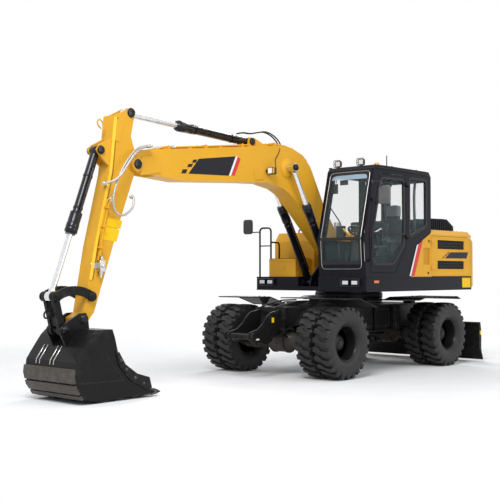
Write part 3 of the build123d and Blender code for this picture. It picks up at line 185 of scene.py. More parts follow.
def ramp(tree, source, low, high, start=(0, 0, 0, 1), end=(1, 1, 1, 1)):
    """A colour ramp between two places."""
    band = node(tree, "ShaderNodeValToRGB")
    band.color_ramp.elements[0].position = low
    band.color_ramp.elements[1].position = high
    band.color_ramp.elements[0].color = start
    band.color_ramp.elements[1].color = end
    tree.links.new(source, band.inputs["Fac"])
    return band.outputs["Color"]


def mix(tree, factor, first, second):
    """Mixes two colours, given as values or sockets."""
    blend = node(tree, "ShaderNodeMix", data_type="RGBA")
    tree.links.new(factor, blend.inputs["Factor"])
    for socket, value in ((blend.inputs[6], first), (blend.inputs[7], second)):
        if isinstance(value, (tuple, list)):
            socket.default_value = value
        else:
            tree.links.new(value, socket)
    return blend.outputs[2]


def bump(tree, shader, height, strength, distance):
    """Adds a relief to a shader."""
    relief = node(tree, "ShaderNodeBump", Strength=strength, Distance=distance)
    tree.links.new(height, relief.inputs["Height"])
    tree.links.new(relief.outputs["Normal"], shader.inputs["Normal"])
    return relief


def four(colour, factor=1.0):
    """A colour with alpha, scaled."""
    return tuple(min(1.0, channel * factor) for channel in colour[:3]) + (1.0,)


def height_mask(tree, position, low, high):
    """1 at the low height and 0 at the high one."""
    parts = node(tree, "ShaderNodeSeparateXYZ")
    tree.links.new(position, parts.inputs["Vector"])
    span = node(tree, "ShaderNodeMapRange")
    dial(span, {"From Min": low, "From Max": high, "To Min": 1.0, "To Max": 0.0})
    tree.links.new(parts.outputs["Z"], span.inputs["Value"])
    return span.outputs["Result"]


def times(tree, first, second):
    """Product of two values."""
    product = node(tree, "ShaderNodeMath", operation="MULTIPLY")
    for socket, value in ((product.inputs[0], first), (product.inputs[1], second)):
        if isinstance(value, (int, float)):
            socket.default_value = value
        else:
            tree.links.new(value, socket)
    return product.outputs[0]


def edge_wear(tree, amount):
    """Bright where an edge stands out, scaled by an amount."""
    shape = node(tree, "ShaderNodeNewGeometry")
    worn = ramp(tree, shape.outputs["Pointiness"], 0.515, 0.56)
    return times(tree, worn, amount)


def painted(name, colour, roughness, coat, dust, cloud=0.06, wear_colour=None, shine=0.2):
    """Sprayed paint: a slow drift of colour, orange peel, dust low down and thin wear on edges."""
    made, tree, shader, position = material(name)
    drift = ramp(tree, noise(tree, position, 1.7, 5.0), 0.3, 0.7, four(colour, 1.0 - cloud),
                 four(colour, 1.0 + cloud))
    speck = ramp(tree, noise(tree, position, 38.0, 6.0, 0.7), 0.52, 0.72)
    low = height_mask(tree, position, 0.05, 1.6)
    dusty = times(tree, times(tree, low, dust), speck)
    coloured = mix(tree, dusty, drift, (0.13, 0.115, 0.095, 1.0))
    if wear_colour:
        scuff = times(tree, edge_wear(tree, 0.8),
                      ramp(tree, noise(tree, position, 11.0, 6.0, 0.7), 0.45, 0.65))
        coloured = mix(tree, scuff, coloured, wear_colour)
    tree.links.new(coloured, shader.inputs["Base Color"])
    gloss = node(tree, "ShaderNodeMapRange")
    dial(gloss, {"To Min": roughness - 0.06, "To Max": roughness + 0.1})
    tree.links.new(noise(tree, position, 6.0, 6.0, 0.65), gloss.inputs["Value"])
    tree.links.new(gloss.outputs["Result"], shader.inputs["Roughness"])
    dial(shader, {"Coat Weight": coat, "Coat Roughness": 0.12, "Specular IOR Level": shine})
    bump(tree, shader, noise(tree, position, 420.0, 2.0), 0.06, 0.0006)
    return made


def metal(name, colour, roughness, brushed=0.0, grain=60.0):
    """Bare metal with fine scratches."""
    made, tree, shader, position = material(name)
    shade = ramp(tree, noise(tree, position, grain, 5.0, 0.6), 0.35, 0.65, four(colour, 0.86),
                 four(colour, 1.05))
    tree.links.new(shade, shader.inputs["Base Color"])
    dial(shader, {"Metallic": 1.0, "Roughness": roughness})
    bump(tree, shader, noise(tree, position, grain * 6, 3.0), 0.05 + brushed, 0.0008)
    return made


def rubber(name, colour, roughness, relief, dust):
    """Matte rubber with a pale bloom in patches."""
    made, tree, shader, position = material(name)
    bloom = ramp(tree, noise(tree, position, 14.0, 8.0, 0.7), 0.4, 0.75)
    shade = mix(tree, times(tree, bloom, dust), four(colour), four(colour, 3.4))
    tree.links.new(shade, shader.inputs["Base Color"])
    dial(shader, {"Roughness": roughness, "Specular IOR Level": 0.35})
    bump(tree, shader, noise(tree, position, 160.0, 6.0, 0.7), relief, 0.0015)
    return made


def braided_hose(name, colour):
    """Steel-braided hose cover: two crossing sets of fine bands."""
    made, tree, shader, position = material(name)
    heights = []
    for turn in (radians(35), radians(-35)):
        place = node(tree, "ShaderNodeMapping")
        place.inputs["Rotation"].default_value = (0.0, turn, turn)
        tree.links.new(position, place.inputs["Vector"])
        wave = node(tree, "ShaderNodeTexWave", Scale=95.0, Distortion=0.4)
        tree.links.new(place.outputs["Vector"], wave.inputs["Vector"])
        heights.append(wave.outputs["Fac"])
    relief = times(tree, heights[0], heights[1])
    shade = ramp(tree, relief, 0.1, 0.8, four(colour, 0.55), four(colour, 1.15))
    tree.links.new(shade, shader.inputs["Base Color"])
    dial(shader, {"Metallic": 0.55, "Roughness": 0.38})
    bump(tree, shader, relief, 0.35, 0.0015)
    return made


def clear_glass(name, tint, alpha):
    """Thin pane: mostly clear, with a faint tint and a sky-like reflection."""
    made, tree, shader, position = material(name)
    smear = ramp(tree, noise(tree, position, 3.0, 6.0, 0.6), 0.35, 0.8, (0.02, 0.02, 0.02, 1),
                 (0.07, 0.07, 0.07, 1))
    tree.links.new(smear, shader.inputs["Roughness"])
    dial(shader, {"Base Color": four(tint), "Alpha": alpha, "IOR": 1.45, "Specular IOR Level": 0.8})
    return made


def lamp_lens(name, colour, glow=0.0):
    """Moulded lens with fine ribs."""
    made, tree, shader, position = material(name)
    ribs = node(tree, "ShaderNodeTexWave", Scale=70.0)
    tree.links.new(position, ribs.inputs["Vector"])
    shade = ramp(tree, ribs.outputs["Fac"], 0.2, 0.8, four(colour, 0.75), four(colour, 1.0))
    tree.links.new(shade, shader.inputs["Base Color"])
    dial(shader, {"Roughness": 0.12, "Coat Weight": 0.6})
    if glow:
        dial(shader, {"Emission Color": four(colour), "Emission Strength": glow})
    bump(tree, shader, ribs.outputs["Fac"], 0.3, 0.001)
    return made


def moulded(name, colour, roughness, grain):
    """Textured plastic."""
    made, tree, shader, position = material(name)
    shade = ramp(tree, noise(tree, position, 5.0, 4.0), 0.3, 0.7, four(colour, 0.85), four(colour, 1.2))
    tree.links.new(shade, shader.inputs["Base Color"])
    shader.inputs["Roughness"].default_value = roughness
    bump(tree, shader, noise(tree, position, grain, 4.0, 0.7), 0.18, 0.0012)
    return made


def woven(name, colour):
    """Seat cloth: a fine over-and-under weave with sheen."""
    made, tree, shader, position = material(name)
    check = node(tree, "ShaderNodeTexChecker", Scale=180.0)
    tree.links.new(position, check.inputs["Vector"])
    shade = mix(tree, check.outputs["Fac"], four(colour, 0.8), four(colour, 1.5))
    tree.links.new(shade, shader.inputs["Base Color"])
    dial(shader, {"Roughness": 0.9, "Sheen Weight": 0.3})
    bump(tree, shader, check.outputs["Fac"], 0.25, 0.001)
    return made


def cast_paint(name, colour):
    """Rough cast iron under thin satin paint, scuffed on its edges."""
    return painted(name, colour, 0.5, 0.1, 0.5, 0.15, (0.055, 0.052, 0.05, 1.0))


def cast_worn(name, colour):
    """Ground steel with bright scuffed edges."""
    return painted(name, colour, 0.42, 0.0, 0.3, 0.25, (0.24, 0.23, 0.22, 1.0))


FINISHES = {}


def make_finishes():
    """All materials, by plain names."""
    paint = bpy.context.scene.excavator_paint
    dust = paint.wear
    FINISHES.update({
        "yellow": painted("Body yellow", paint.yellow, 0.38, 0.08, dust * 0.3, 0.05),
        # Painted highlight: a brighter copy of the body yellow that stands in for light on the arm's front
        # edges.
        "painted_highlight_yellow": painted("Painted highlight yellow", (0.95, 0.6, 0.045), 0.34, 0.1, 0.0, 0.04),
        # Painted shade: a dark brown strip that stands in for the shadow along the arm's edge weld.
        "weld": painted("Weld shade", (0.34, 0.15, 0.008), 0.45, 0.0, 0.0, 0.05),
        "scoured": painted("Scoured steel", (0.062, 0.052, 0.043), 0.34, 0.0, 0.0, 0.08,
                           (0.1, 0.09, 0.08, 1.0)),
        "black": painted("Cab black", paint.black, 0.3, 0.03, dust * 0.1, 0.1, None, 0.12),
        "barrel": painted("Barrel black", paint.black, 0.2, 0.3, 0.0, 0.05),
        "frame": painted("Frame black", paint.frame, 0.42, 0.05, dust * 0.5, 0.12,
                         (0.04, 0.038, 0.036, 1.0), 0.12),
        "cast": cast_paint("Cast black", (0.05, 0.042, 0.035)),
        "bucket": painted("Bucket black", (0.0085, 0.008, 0.0085), 0.3, 0.04, dust * 0.3, 0.15,
                          (0.06, 0.058, 0.055, 1.0), 0.12),
        "chrome": metal("Chromed rod", (0.8, 0.81, 0.83), 0.09, 0.0, 30.0),
        "zinc": metal("Zinc fitting", (0.62, 0.62, 0.6), 0.32, 0.05, 45.0),
        "steel": metal("Bare steel", (0.3, 0.29, 0.28), 0.38, 0.1, 50.0),
        "tyre": rubber("Tyre rubber", paint.rubber, 0.5, 0.25, 0.25),
        "rim": painted("Rim black", (0.009, 0.009, 0.01), 0.34, 0.1, dust * 0.6, 0.1,
                       (0.05, 0.05, 0.05, 1.0)),
        "seal": rubber("Window seal", (0.012, 0.012, 0.013), 0.55, 0.1, 0.1),
        "hose": rubber("Black hose", (0.014, 0.014, 0.016), 0.42, 0.12, 0.15),
        "braid": braided_hose("Braided hose", (0.66, 0.62, 0.58)),
        "glass": clear_glass("Cab glass", (0.22, 0.32, 0.32), 0.07),
        "lens": lamp_lens("Lamp lens", (0.82, 0.84, 0.86), 0.12),
        "amber": lamp_lens("Amber lens", (0.85, 0.16, 0.02)),
        "beacon": lamp_lens("Beacon lens", (0.9, 0.42, 0.02)),
        "mirror": metal("Mirror glass", (0.72, 0.75, 0.78), 0.03, 0.0, 8.0),
        "plastic": moulded("Black plastic", (0.016, 0.016, 0.018), 0.48, 260.0),
        "grey_plastic": moulded("Grey plastic", (0.095, 0.095, 0.1), 0.5, 240.0),
        "grip": rubber("Grip mat", (0.012, 0.012, 0.012), 0.8, 0.5, 0.2),
        "cloth": woven("Seat cloth", (0.03, 0.03, 0.034)),
        "white": painted("Stripe white", (0.8, 0.8, 0.8), 0.35, 0.3, 0.0, 0.02),
        "red": painted("Stripe red", paint.red, 0.35, 0.3, 0.0, 0.04),
        "decal": painted("Decal dark", (0.01, 0.01, 0.014), 0.34, 0.0, 0.0, 0.05),
        "plate": painted("Blank plate", (0.88, 0.53, 0.004), 0.38, 0.0, 0.0, 0.03),
        "grille": moulded("Grille mesh", (0.005, 0.005, 0.005), 0.7, 300.0),
        "shade": clear_glass("Screen shade", (0.45, 0.62, 0.78), 0.5),
        "head_cover": woven("Head pad cloth", (0.24, 0.24, 0.25)),
        "worn": cast_worn("Worn steel", (0.05, 0.042, 0.036)),
    })


# Mesh building blocks

def corners(low, high):
    """The eight corners of a box."""
    return [Vector((x, y, z)) for x in (low[0], high[0]) for y in (low[1], high[1])
            for z in (low[2], high[2])]


BOX_FACES = ((0, 1, 3, 2), (4, 6, 7, 5), (0, 4, 5, 1), (2, 3, 7, 6), (0, 2, 6, 4), (1, 5, 7, 3))


def block(mesh, low, high, turn=None):
    """A box between two corners, turned by a matrix if given."""
    points = [mesh.verts.new(turn @ p if turn else p) for p in corners(low, high)]
    for face in BOX_FACES:
        mesh.faces.new([points[i] for i in face])


def bridge(mesh, loops, closed=False):
    """Joins loops of equal length by faces; an open row of loops gets a face at each end."""
    count = len(loops[0])
    for first, second in zip(loops, loops[1:] + loops[:1] if closed else loops[1:]):
        for i in range(count):
            j = (i + 1) % count
            mesh.faces.new((first[i], first[j], second[j], second[i]))
    if not closed:
        mesh.faces.new(loops[0][::-1])
        mesh.faces.new(loops[-1])


def slab(mesh, outline, y_low, y_high):
    """A flat plate drawn in the side view, in metres from the middle of the wheelbase."""
    bridge(mesh, [[mesh.verts.new(spot(x, y, z)) for x, z in outline] for y in (y_high, y_low)])


def cross_frame(direction):
    """Two directions square to a third."""
    along = Vector(direction).normalized()
    side = along.cross(Vector((0, 0, 1)) if abs(along.z) < 0.9 else Vector((1, 0, 0))).normalized()
    return along, side, along.cross(side)


def turned(mesh, start, direction, profile, sides=24):
    """A turned piece: profile holds (place along the direction, radius)."""
    along, side, up = cross_frame(direction)
    rings = []
    for place, radius in profile:
        centre = Vector(start) + along * place
        if radius < 1e-6:
            rings.append([mesh.verts.new(centre)])
        else:
            rings.append([mesh.verts.new(centre + (side * cos(a) + up * sin(a)) * radius)
                          for a in (2 * pi * i / sides for i in range(sides))])
    for low, high in zip(rings, rings[1:]):
        for i in range(sides):
            j = (i + 1) % sides
            loop = [low[i % len(low)], low[j % len(low)], high[j % len(high)], high[i % len(high)]]
            loop = [v for k, v in enumerate(loop) if v not in loop[:k]]
            if len(loop) > 2:
                mesh.faces.new(loop)
    for ring, order in ((rings[0], -1), (rings[-1], 1)):
        if len(ring) > 1:
            mesh.faces.new(ring[::order])


def rod(mesh, start, end, radius, sides=16):
    """A round bar between two points."""
    span = Vector(end) - Vector(start)
    turned(mesh, start, span, [(0.0, radius), (span.length, radius)], sides)


def bolt(mesh, place, direction, size):
    """A hexagon head on a washer."""
    turned(mesh, place, direction, [(0.0, size * 1.25), (size * 0.25, size * 1.25)], 12)
    turned(mesh, Vector(place) + Vector(direction).normalized() * size * 0.25, direction,
           [(0.0, size), (size * 0.75, size), (size * 0.95, size * 0.8)], 6)


def bolt_ring(mesh, centre, direction, radius, count, size, start=0.0):
    """Bolts in a circle, square to a direction that lies along an axis."""
    across, up = [axis for axis in Matrix.Identity(3) if not axis.dot(Vector(direction))]
    for k in range(count):
        angle = 2 * pi * k / count + start
        bolt(mesh, centre + (across * cos(angle) + up * sin(angle)) * radius, direction, size)


def add_object(name, data):
    """An object in the scene, made of a mesh, curve, lamp or camera."""
    added = bpy.data.objects.new(name, data)
    bpy.context.scene.collection.objects.link(added)
    return added


def soften(piece, width, segments):
    """Rounds the sharp edges of a piece."""
    edges = piece.modifiers.new("Edges", "BEVEL")
    edges.width = width
    edges.segments = segments
    edges.limit_method = "ANGLE"
    edges.angle_limit = SHARP_EDGE


def finish(mesh, name, finish_name, body, bevel=0.0, segments=2, smooth=True):
    """Turns a built mesh into a piece that rides on a body."""
    bmesh.ops.recalc_face_normals(mesh, faces=mesh.faces)
    data = bpy.data.meshes.new(name)
    mesh.to_mesh(data)
    mesh.free()
    data.materials.append(FINISHES[finish_name])
    piece = add_object(name, data)
    if smooth:
        data.shade_smooth()
        data.set_sharp_from_angle(angle=SHARP_EDGE)
    if bevel:
        soften(piece, bevel, segments)
    if body:
        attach(piece, body)
    return piece


def route_curve(name, points, steps):
    """A smooth spline whose control points are places from the middle of the wheelbase."""
    curve = bpy.data.curves.new(name, "CURVE")
    curve.dimensions = "3D"
    curve.resolution_u = steps
    run = curve.splines.new("NURBS")
    run.points.add(len(points) - 1)
    for control, (x, y, z) in zip(run.points, points):
        control.co = (MID + x, y, z, 1.0)
    run.order_u = 3
    run.use_endpoint_u = True
    return curve


def line(name, points, radius, finish_name, body, sides=3):
    """A smooth pipe, hose or wire along points from the middle of the wheelbase."""
    curve = route_curve(name, points, 6)
    curve.bevel_depth = radius
    curve.bevel_resolution = sides
    curve.use_fill_caps = True
    curve.materials.append(FINISHES[finish_name])
    piece = add_object(name, curve)
    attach(piece, body)
    return piece


# Finishes of the frame's own nodes

NODE_FINISHES = {
    "frame": ("chassis", "turntable", "transmission", "front_bracket", "fenders_front", "fenders_rear",
              "blade", "guide_links", "bucket_link"),
    "cast": ("front_axle", "rear_axle", "knuckle_left", "knuckle_right"),
    "tyre": ("tyres_front_left", "tyres_front_right", "tyres_rear_left", "tyres_rear_right"),
    "rim": ("wheel_front_left", "wheel_front_right", "wheel_rear_left", "wheel_rear_right"),
    "bucket": ("bucket",),
    "yellow": ("boom", "arm", "counterweight", "engine_house", "engine_door_left", "engine_door_right",
               "side_panel_left", "fuel_tank", "tool_box"),
    "black": ("house_frame", "cab", "cab_door", "front_box", "handrail_right", "hood_lid"),
    "barrel": ("boom_barrels", "arm_barrel", "bucket_barrel", "blade_barrels"),
    "chrome": ("boom_rods", "arm_rod", "bucket_rod", "blade_rods"),
    "glass": ("cab_glass", "door_glass"),
    "plastic": ("roof_fittings", "steering_column", "mirror_left", "mirror_right"),
    "cloth": ("seat",),
    "steel": ("engine_block",),
}
PLAIN_EDGES = {"glass", "tyre", "chrome"}


class EXCAVATOR_OT_frame_finish(bpy.types.Operator):
    """Gives each node of the frame its finish and fine rounded edges"""

    bl_idname = "excavator.frame_finish"
    bl_label = "Frame finishes"

    def execute(self, context):
        make_finishes()
        for finish_name, names in NODE_FINISHES.items():
            for name in names:
                piece = frame["nodes"][name]
                for slot in piece.material_slots:
                    slot.material = FINISHES[finish_name]
                weld = piece.modifiers.new("Weld", "WELD")
                weld.merge_threshold = 0.0002
                if finish_name not in PLAIN_EDGES:
                    soften(piece, 0.004, 2)
        return {"FINISHED"}


# Small builders that the pieces share

def box(mesh, x, y, z):
    """A plain block whose sides are given as pairs, measured from the middle of the wheelbase."""
    block(mesh, spot(x[0], y[0], z[0]), spot(x[1], y[1], z[1]))


def boxes(mesh, *sides):
    """Plain blocks, each given by its low and high X, Y and Z."""
    for x_low, x_high, y_low, y_high, z_low, z_high in sides:
        box(mesh, (x_low, x_high), (y_low, y_high), (z_low, z_high))


def cap(mesh, x, z, y, out, radius, depth):
    """A stepped pin cap on a side face; out is 1 for the left side and -1 for the right."""
    turned(mesh, spot(x, y, z), (0, out, 0),
           [(0.0, radius * 1.12), (depth * 0.35, radius * 1.12), (depth * 0.4, radius),
            (depth * 0.9, radius), (depth, radius * 0.9)], 32)
    bolt_ring(mesh, spot(x, y + out * depth, z), (0, out, 0), radius * 0.55, 3, 0.007, 0.5)


def caps(mesh, *places):
    """Pin caps on both sides; each place holds the pin, its Y, its radius and its depth."""
    for out in (1, -1):
        for (x, z), y, radius, depth in places:
            cap(mesh, x, z, out * y, out, radius, depth)


def rounded(points, radius, steps=5, closed=False):
    """Points of a run whose corners are rounded."""
    points = [Vector(p) for p in points]
    count = len(points)
    run = [] if closed else [points[0]]
    for i in range(count) if closed else range(1, count - 1):
        corner, before, after = points[i], points[i - 1], points[(i + 1) % count]
        reach = min(radius, (before - corner).length * 0.48, (after - corner).length * 0.48)
        start = corner + (before - corner).normalized() * reach
        end = corner + (after - corner).normalized() * reach
        for k in range(steps + 1):
            t = k / steps
            run.append(start * (1 - t) ** 2 + corner * 2 * t * (1 - t) + end * t * t)
    if not closed:
        run.append(points[-1])
    return run


def swept(mesh, points, radius, sides=12, closed=False):
    """A round bar along world points, its rings turned with the least twist."""
    count = len(points)
    rings = []
    side = None
    for i, place in enumerate(points):
        before = points[i - 1] if i or closed else place
        after = points[(i + 1) % count] if i < count - 1 or closed else place
        along = (after - before).normalized()
        if side is None:
            side = cross_frame(along)[1]
        side = (side - along * side.dot(along)).normalized()
        up = along.cross(side)
        rings.append([mesh.verts.new(place + (side * cos(a) + up * sin(a)) * radius)
                      for a in (2 * pi * k / sides for k in range(sides))])
    bridge(mesh, rings, closed)


def bar(mesh, points, radius, bend=0.05, sides=12, closed=False):
    """A bent round bar through places measured from the middle of the wheelbase."""
    swept(mesh, rounded([spot(*p) for p in points], bend, 5, closed), radius, sides, closed)


def rectangle(x_low, x_high, z_low, z_high):
    """A rectangle in the side view."""
    return [(x_low, z_low), (x_high, z_low), (x_high, z_high), (x_low, z_high)]


def front_rectangle(x, y, z):
    """A rectangle seen from the front, at one place along the machine."""
    return [(x, y[0], z[0]), (x, y[1], z[0]), (x, y[1], z[1]), (x, y[0], z[1])]


def layer(out, near, far):
    """The two sides of a layer, the low one first; out is 1 on the left and -1 on the right."""
    return sorted((out * near, out * far))


def strip(mesh, outline, y, thickness, out=1):
    """A thin sheet on a side face, drawn in the side view."""
    slab(mesh, outline, *sorted((y, y + out * thickness)))


def cushion(name, low, high, crown, finish_name, body):
    """A crowned pad: its faces swell between pulled-in edges."""
    mesh = bmesh.new()
    low, high = spot(*low), spot(*high)
    steps = 8
    size = high - low
    centre = (low + high) / 2
    bmesh.ops.create_cube(mesh, size=1.0)
    bmesh.ops.subdivide_edges(mesh, edges=mesh.edges[:], cuts=steps, use_grid_fill=True)
    for vertex in mesh.verts:
        u = vertex.co * 2.0
        fall = [1 - abs(place) ** 4 for place in u]
        swell = [1.0 + crown * fall[(k + 1) % 3] * fall[(k + 2) % 3] for k in range(3)]
        vertex.co = centre + Vector(u[k] * size[k] / 2 * swell[k] / (1.0 + crown) for k in range(3))
    piece = finish(mesh, name, finish_name, body)
    soft = piece.modifiers.new("Smooth", "SUBSURF")
    soft.levels = 1
    soft.render_levels = 1
    return piece


# Wheels

def tread_lug(mesh, centre, side, angle, tread):
    """One tread lug: straight over the shoulder, then bent towards the middle of the tyre."""
    half = TYRE_WIDTH / 2
    top = TYRE_RADIUS - 0.0004
    root = TYRE_RADIUS - tread.height
    stations = (
        (half * 0.985, top - 0.082, root - 0.082, 0.0, 0.03),
        (half * 0.9, top - 0.004, root - 0.012, 0.0, 0.036),
        (half * 0.42, top, root - 0.006, 0.0, 0.041),
        (-half * 0.04, top, root - 0.006, half * 0.46 * sin(tread.lean) / cos(tread.lean), 0.028),
    )
    loops = []
    for across, high, low, shift, width in stations:
        loop = []
        for radius, spread in ((low, width + 0.005), (high, width)):
            for edge in (-spread, spread):
                turn = angle + (shift * side + edge) / TYRE_RADIUS
                place = Vector((radius * cos(turn), side * across, radius * sin(turn)))
                loop.append(mesh.verts.new(centre + place))
        loops.append((loop[0], loop[1], loop[3], loop[2]))
    bridge(mesh, loops)


def tyre(mesh, centre, tread):
    """A bulged tyre with two rows of bent lugs."""
    half = TYRE_WIDTH / 2
    root = TYRE_RADIUS - tread.height
    outer = [(0.62, RIM_RADIUS + 0.001), (0.74, RIM_RADIUS + 0.012), (0.86, RIM_RADIUS + 0.04),
             (0.94, RIM_RADIUS + 0.075), (0.952, RIM_RADIUS + 0.083), (0.946, RIM_RADIUS + 0.088),
             (0.975, RIM_RADIUS + 0.115), (0.985, TYRE_RADIUS - 0.115), (0.955, root - 0.05),
             (0.9, root - 0.018), (0.8, root - 0.006), (0.4, root)]
    profile = [(-place * half, radius) for place, radius in outer]
    profile += [(place * half, radius) for place, radius in reversed(outer)]
    profile.append(profile[0])
    turned(mesh, centre, (0, 1, 0), profile, 96)
    for i in range(tread.count):
        tread_lug(mesh, centre, 1, 2 * pi * i / tread.count, tread)
        tread_lug(mesh, centre, -1, 2 * pi * (i + 0.5) / tread.count, tread)


def wheel(mesh, x, side):
    """Dished twin wheels with their hub, nuts and drain plugs."""
    out = Vector((0, side, 0))
    middle = spot(x, side * 0.948, TYRE_RADIUS)
    hub_face = 0.1505
    profile = [(hub_face, 0.0), (hub_face, 0.046), (hub_face - 0.006, 0.05), (hub_face - 0.006, 0.072),
               (0.128, 0.104), (0.096, 0.1265), (0.03, 0.1275), (0.016, 0.15), (0.02, 0.19), (0.04, 0.228),
               (0.062, 0.234), (0.215, 0.238), (0.246, 0.246), (0.2585, 0.256), (0.2602, 0.262),
               (0.2545, 0.2645), (0.2475, 0.2608), (-0.2475, 0.2608), (-0.2545, 0.2645), (-0.2602, 0.262),
               (-0.246, 0.246), (-0.062, 0.234), (-0.04, 0.2), (-0.03, 0.135), (-0.0602, 0.127),
               (-0.0602, 0.064), (-0.0602, 0.0)]
    turned(mesh, middle, out, profile, 64)
    for ring_radius, count, face, size in ((0.165, 10, 0.0225, 0.0155),
                                           (0.06, 8, hub_face - 0.006, 0.0085)):
        bolt_ring(mesh, middle + out * face, out, ring_radius, count, size, 0.2)
    for k in range(2):
        angle = pi * k + 0.9
        plug = middle + out * (hub_face - 0.0005) + Vector((0.028 * cos(angle), 0, 0.028 * sin(angle)))
        turned(mesh, plug, out, [(0.0, 0.008), (0.005, 0.007)], 12)


class EXCAVATOR_OT_wheels(bpy.types.Operator):
    """Twin tyres with bent lugs on dished wheels"""

    bl_idname = "excavator.wheels"
    bl_label = "Wheels and tyres"

    def execute(self, context):
        tread = context.scene.excavator_tread
        for axle, x in (("front", WHEELBASE / 2), ("rear", -WHEELBASE / 2)):
            for name, side in SIDES:
                body = "wheels_%s_%s" % (axle, name)
                mesh = bmesh.new()
                for y in TYRE_Y:
                    tyre(mesh, spot(x, side * y, TYRE_RADIUS), tread)
                piece = finish(mesh, "tread_%s_%s" % (axle, name), "tyre", body, 0.003, 1)
                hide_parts("tyres_%s_%s" % (axle, name))
                mesh = bmesh.new()
                wheel(mesh, x, side)
                piece = finish(mesh, "rims_%s_%s" % (axle, name), "rim", body)
                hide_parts("wheel_%s_%s" % (axle, name))
        return {"FINISHED"}


# Boom and arm

BOOM_DECAL = [(3.388, 3.112), (2.649, 3.214), (2.792, 2.925), (3.586, 2.891)]
BOOM_WHITE = [(2.649, 3.214), (2.609, 3.218), (2.749, 2.926), (2.792, 2.925)]
BOOM_RED = [(2.602, 3.218), (2.548, 3.182), (2.669, 2.937), (2.749, 2.926)]
BOOM_SQUARES = (
    [(3.495, 3.089), (3.422, 3.1), (3.443, 3.056), (3.52, 3.045)],
    [(3.586, 3.022), (3.498, 3.034), (3.528, 2.988), (3.61, 2.976)],
    [(3.696, 2.939), (3.607, 2.95), (3.631, 2.894), (3.72, 2.883)],
)
BOOM_TOP = [(4.0, 3.187), (3.8, 3.211), (3.2, 3.283), (1.7, 3.468), (1.4, 3.46), (1.12, 3.37), (0.94, 3.21),
            (0.815, 3.0), (0.56, 2.56), (0.05, 1.95)]
FILM = 0.0022


def boom_marks():
    """Blank dark panel, stripes and three squares on both sides of the boom."""
    for name, outlines, finish_name in (
        ("boom_panel", (BOOM_DECAL,) + BOOM_SQUARES, "decal"),
        ("boom_white_stripe", (BOOM_WHITE,), "white"),
        ("boom_red_stripe", (BOOM_RED,), "red"),
    ):
        mesh = bmesh.new()
        for outline in outlines:
            for out in (1, -1):
                strip(mesh, outline, out * BOOM_SIDE, FILM, out)
        finish(mesh, name, finish_name, "boom")


def boom_plates():
    """Raised edges, bosses and lugs that break up the boom's flat sides."""
    mesh = bmesh.new()
    for out in (1, -1):
        side = out * BOOM_SIDE
        strip(mesh, [(4.43, 3.045), (4.15, 3.092), (4.1, 2.935), (4.1, 2.862), (4.45, 2.8)], side, 0.012,
              out)
        strip(mesh, [(2.26, 3.05), (2.09, 3.075), (2.06, 2.93), (2.24, 2.905)], side, 0.01, out)
        turned(mesh, spot(BOOM_CYL_EYE[0], side, BOOM_CYL_EYE[1]), (0, out, 0),
               [(0.0, 0.15), (0.01, 0.15), (0.016, 0.138), (0.036, 0.112)], 48)
        turned(mesh, spot(ARM_PIN[0], side, ARM_PIN[1]), (0, out, 0),
               [(0.0, 0.098), (0.014, 0.098), (0.018, 0.09)], 40)
    for x, z in ((1.92, 3.441), (2.9, 3.32), (3.5, 3.247), (4.1, 3.174)):
        box(mesh, (x - 0.03, x + 0.03), (-0.085, 0.105), (z - 0.006, z + 0.014))
    finish(mesh, "boom_plates", "yellow", "boom", 0.003)
    mesh = bmesh.new()
    caps(mesh, (BOOM_CYL_EYE, 0.318, 0.046, 0.022), (ARM_PIN, 0.165, 0.058, 0.02),
         (ARM_CYL_FOOT, 0.099, 0.05, 0.022), (BOOM_FOOT, 0.186, 0.048, 0.018))
    finish(mesh, "boom_pin_caps", "barrel", "boom", 0.0015)


def offset_run(points, lift):
    """A run moved square to itself: up for one that goes back, and back for one that goes down."""
    run = []
    for i, (x, z) in enumerate(points):
        before = points[max(i - 1, 0)]
        after = points[min(i + 1, len(points) - 1)]
        dx, dz = after[0] - before[0], after[1] - before[1]
        length = hypot(dx, dz)
        run.append((x + dz / length * lift, z - dx / length * lift))
    return run


def boom_pipes(radius):
    """Steel pipes along the boom's back with their clamps."""
    pipes = [[(x, -0.045 + k * 0.042, z) for x, z in offset_run(BOOM_TOP[k // 2:], 0.024)]
             for k in range(4)]
    mesh = bmesh.new()
    for places in pipes:
        bar(mesh, places, radius, 0.14, 10)
    for x, z, turn in ((3.9, 3.199, 7), (3.2, 3.283, 7), (2.45, 3.375, 7), (1.75, 3.462, 5),
                       (1.02, 3.285, -42), (0.88, 3.115, -55), (0.7, 2.805, -60), (0.4, 2.365, -50),
                       (0.19, 2.118, -50)):
        centre = spot(x, 0.018, z)
        place = Matrix.Translation(centre) @ Matrix.Rotation(radians(turn), 4, "Y")
        block(mesh, (-0.022, -0.096, -0.004), (0.022, 0.096, 0.043), place)
        for y in (-0.084, 0.084):
            bolt(mesh, place @ Vector((0, y, 0.043)), place.to_3x3() @ Vector((0, 0, 1)), 0.008)
    finish(mesh, "boom_pipes", "yellow", "boom", 0.0015, 1)
    mesh = bmesh.new()
    for places in pipes:
        x, y, z = places[0]
        rod(mesh, spot(x + 0.045, y, z - 0.006), spot(x - 0.02, y, z), radius * 1.55, 12)
        bolt(mesh, spot(x - 0.02, y, z), (1, 0, -0.12), radius * 1.7)
    finish(mesh, "boom_pipe_ends", "zinc", "boom", 0.001, 1)


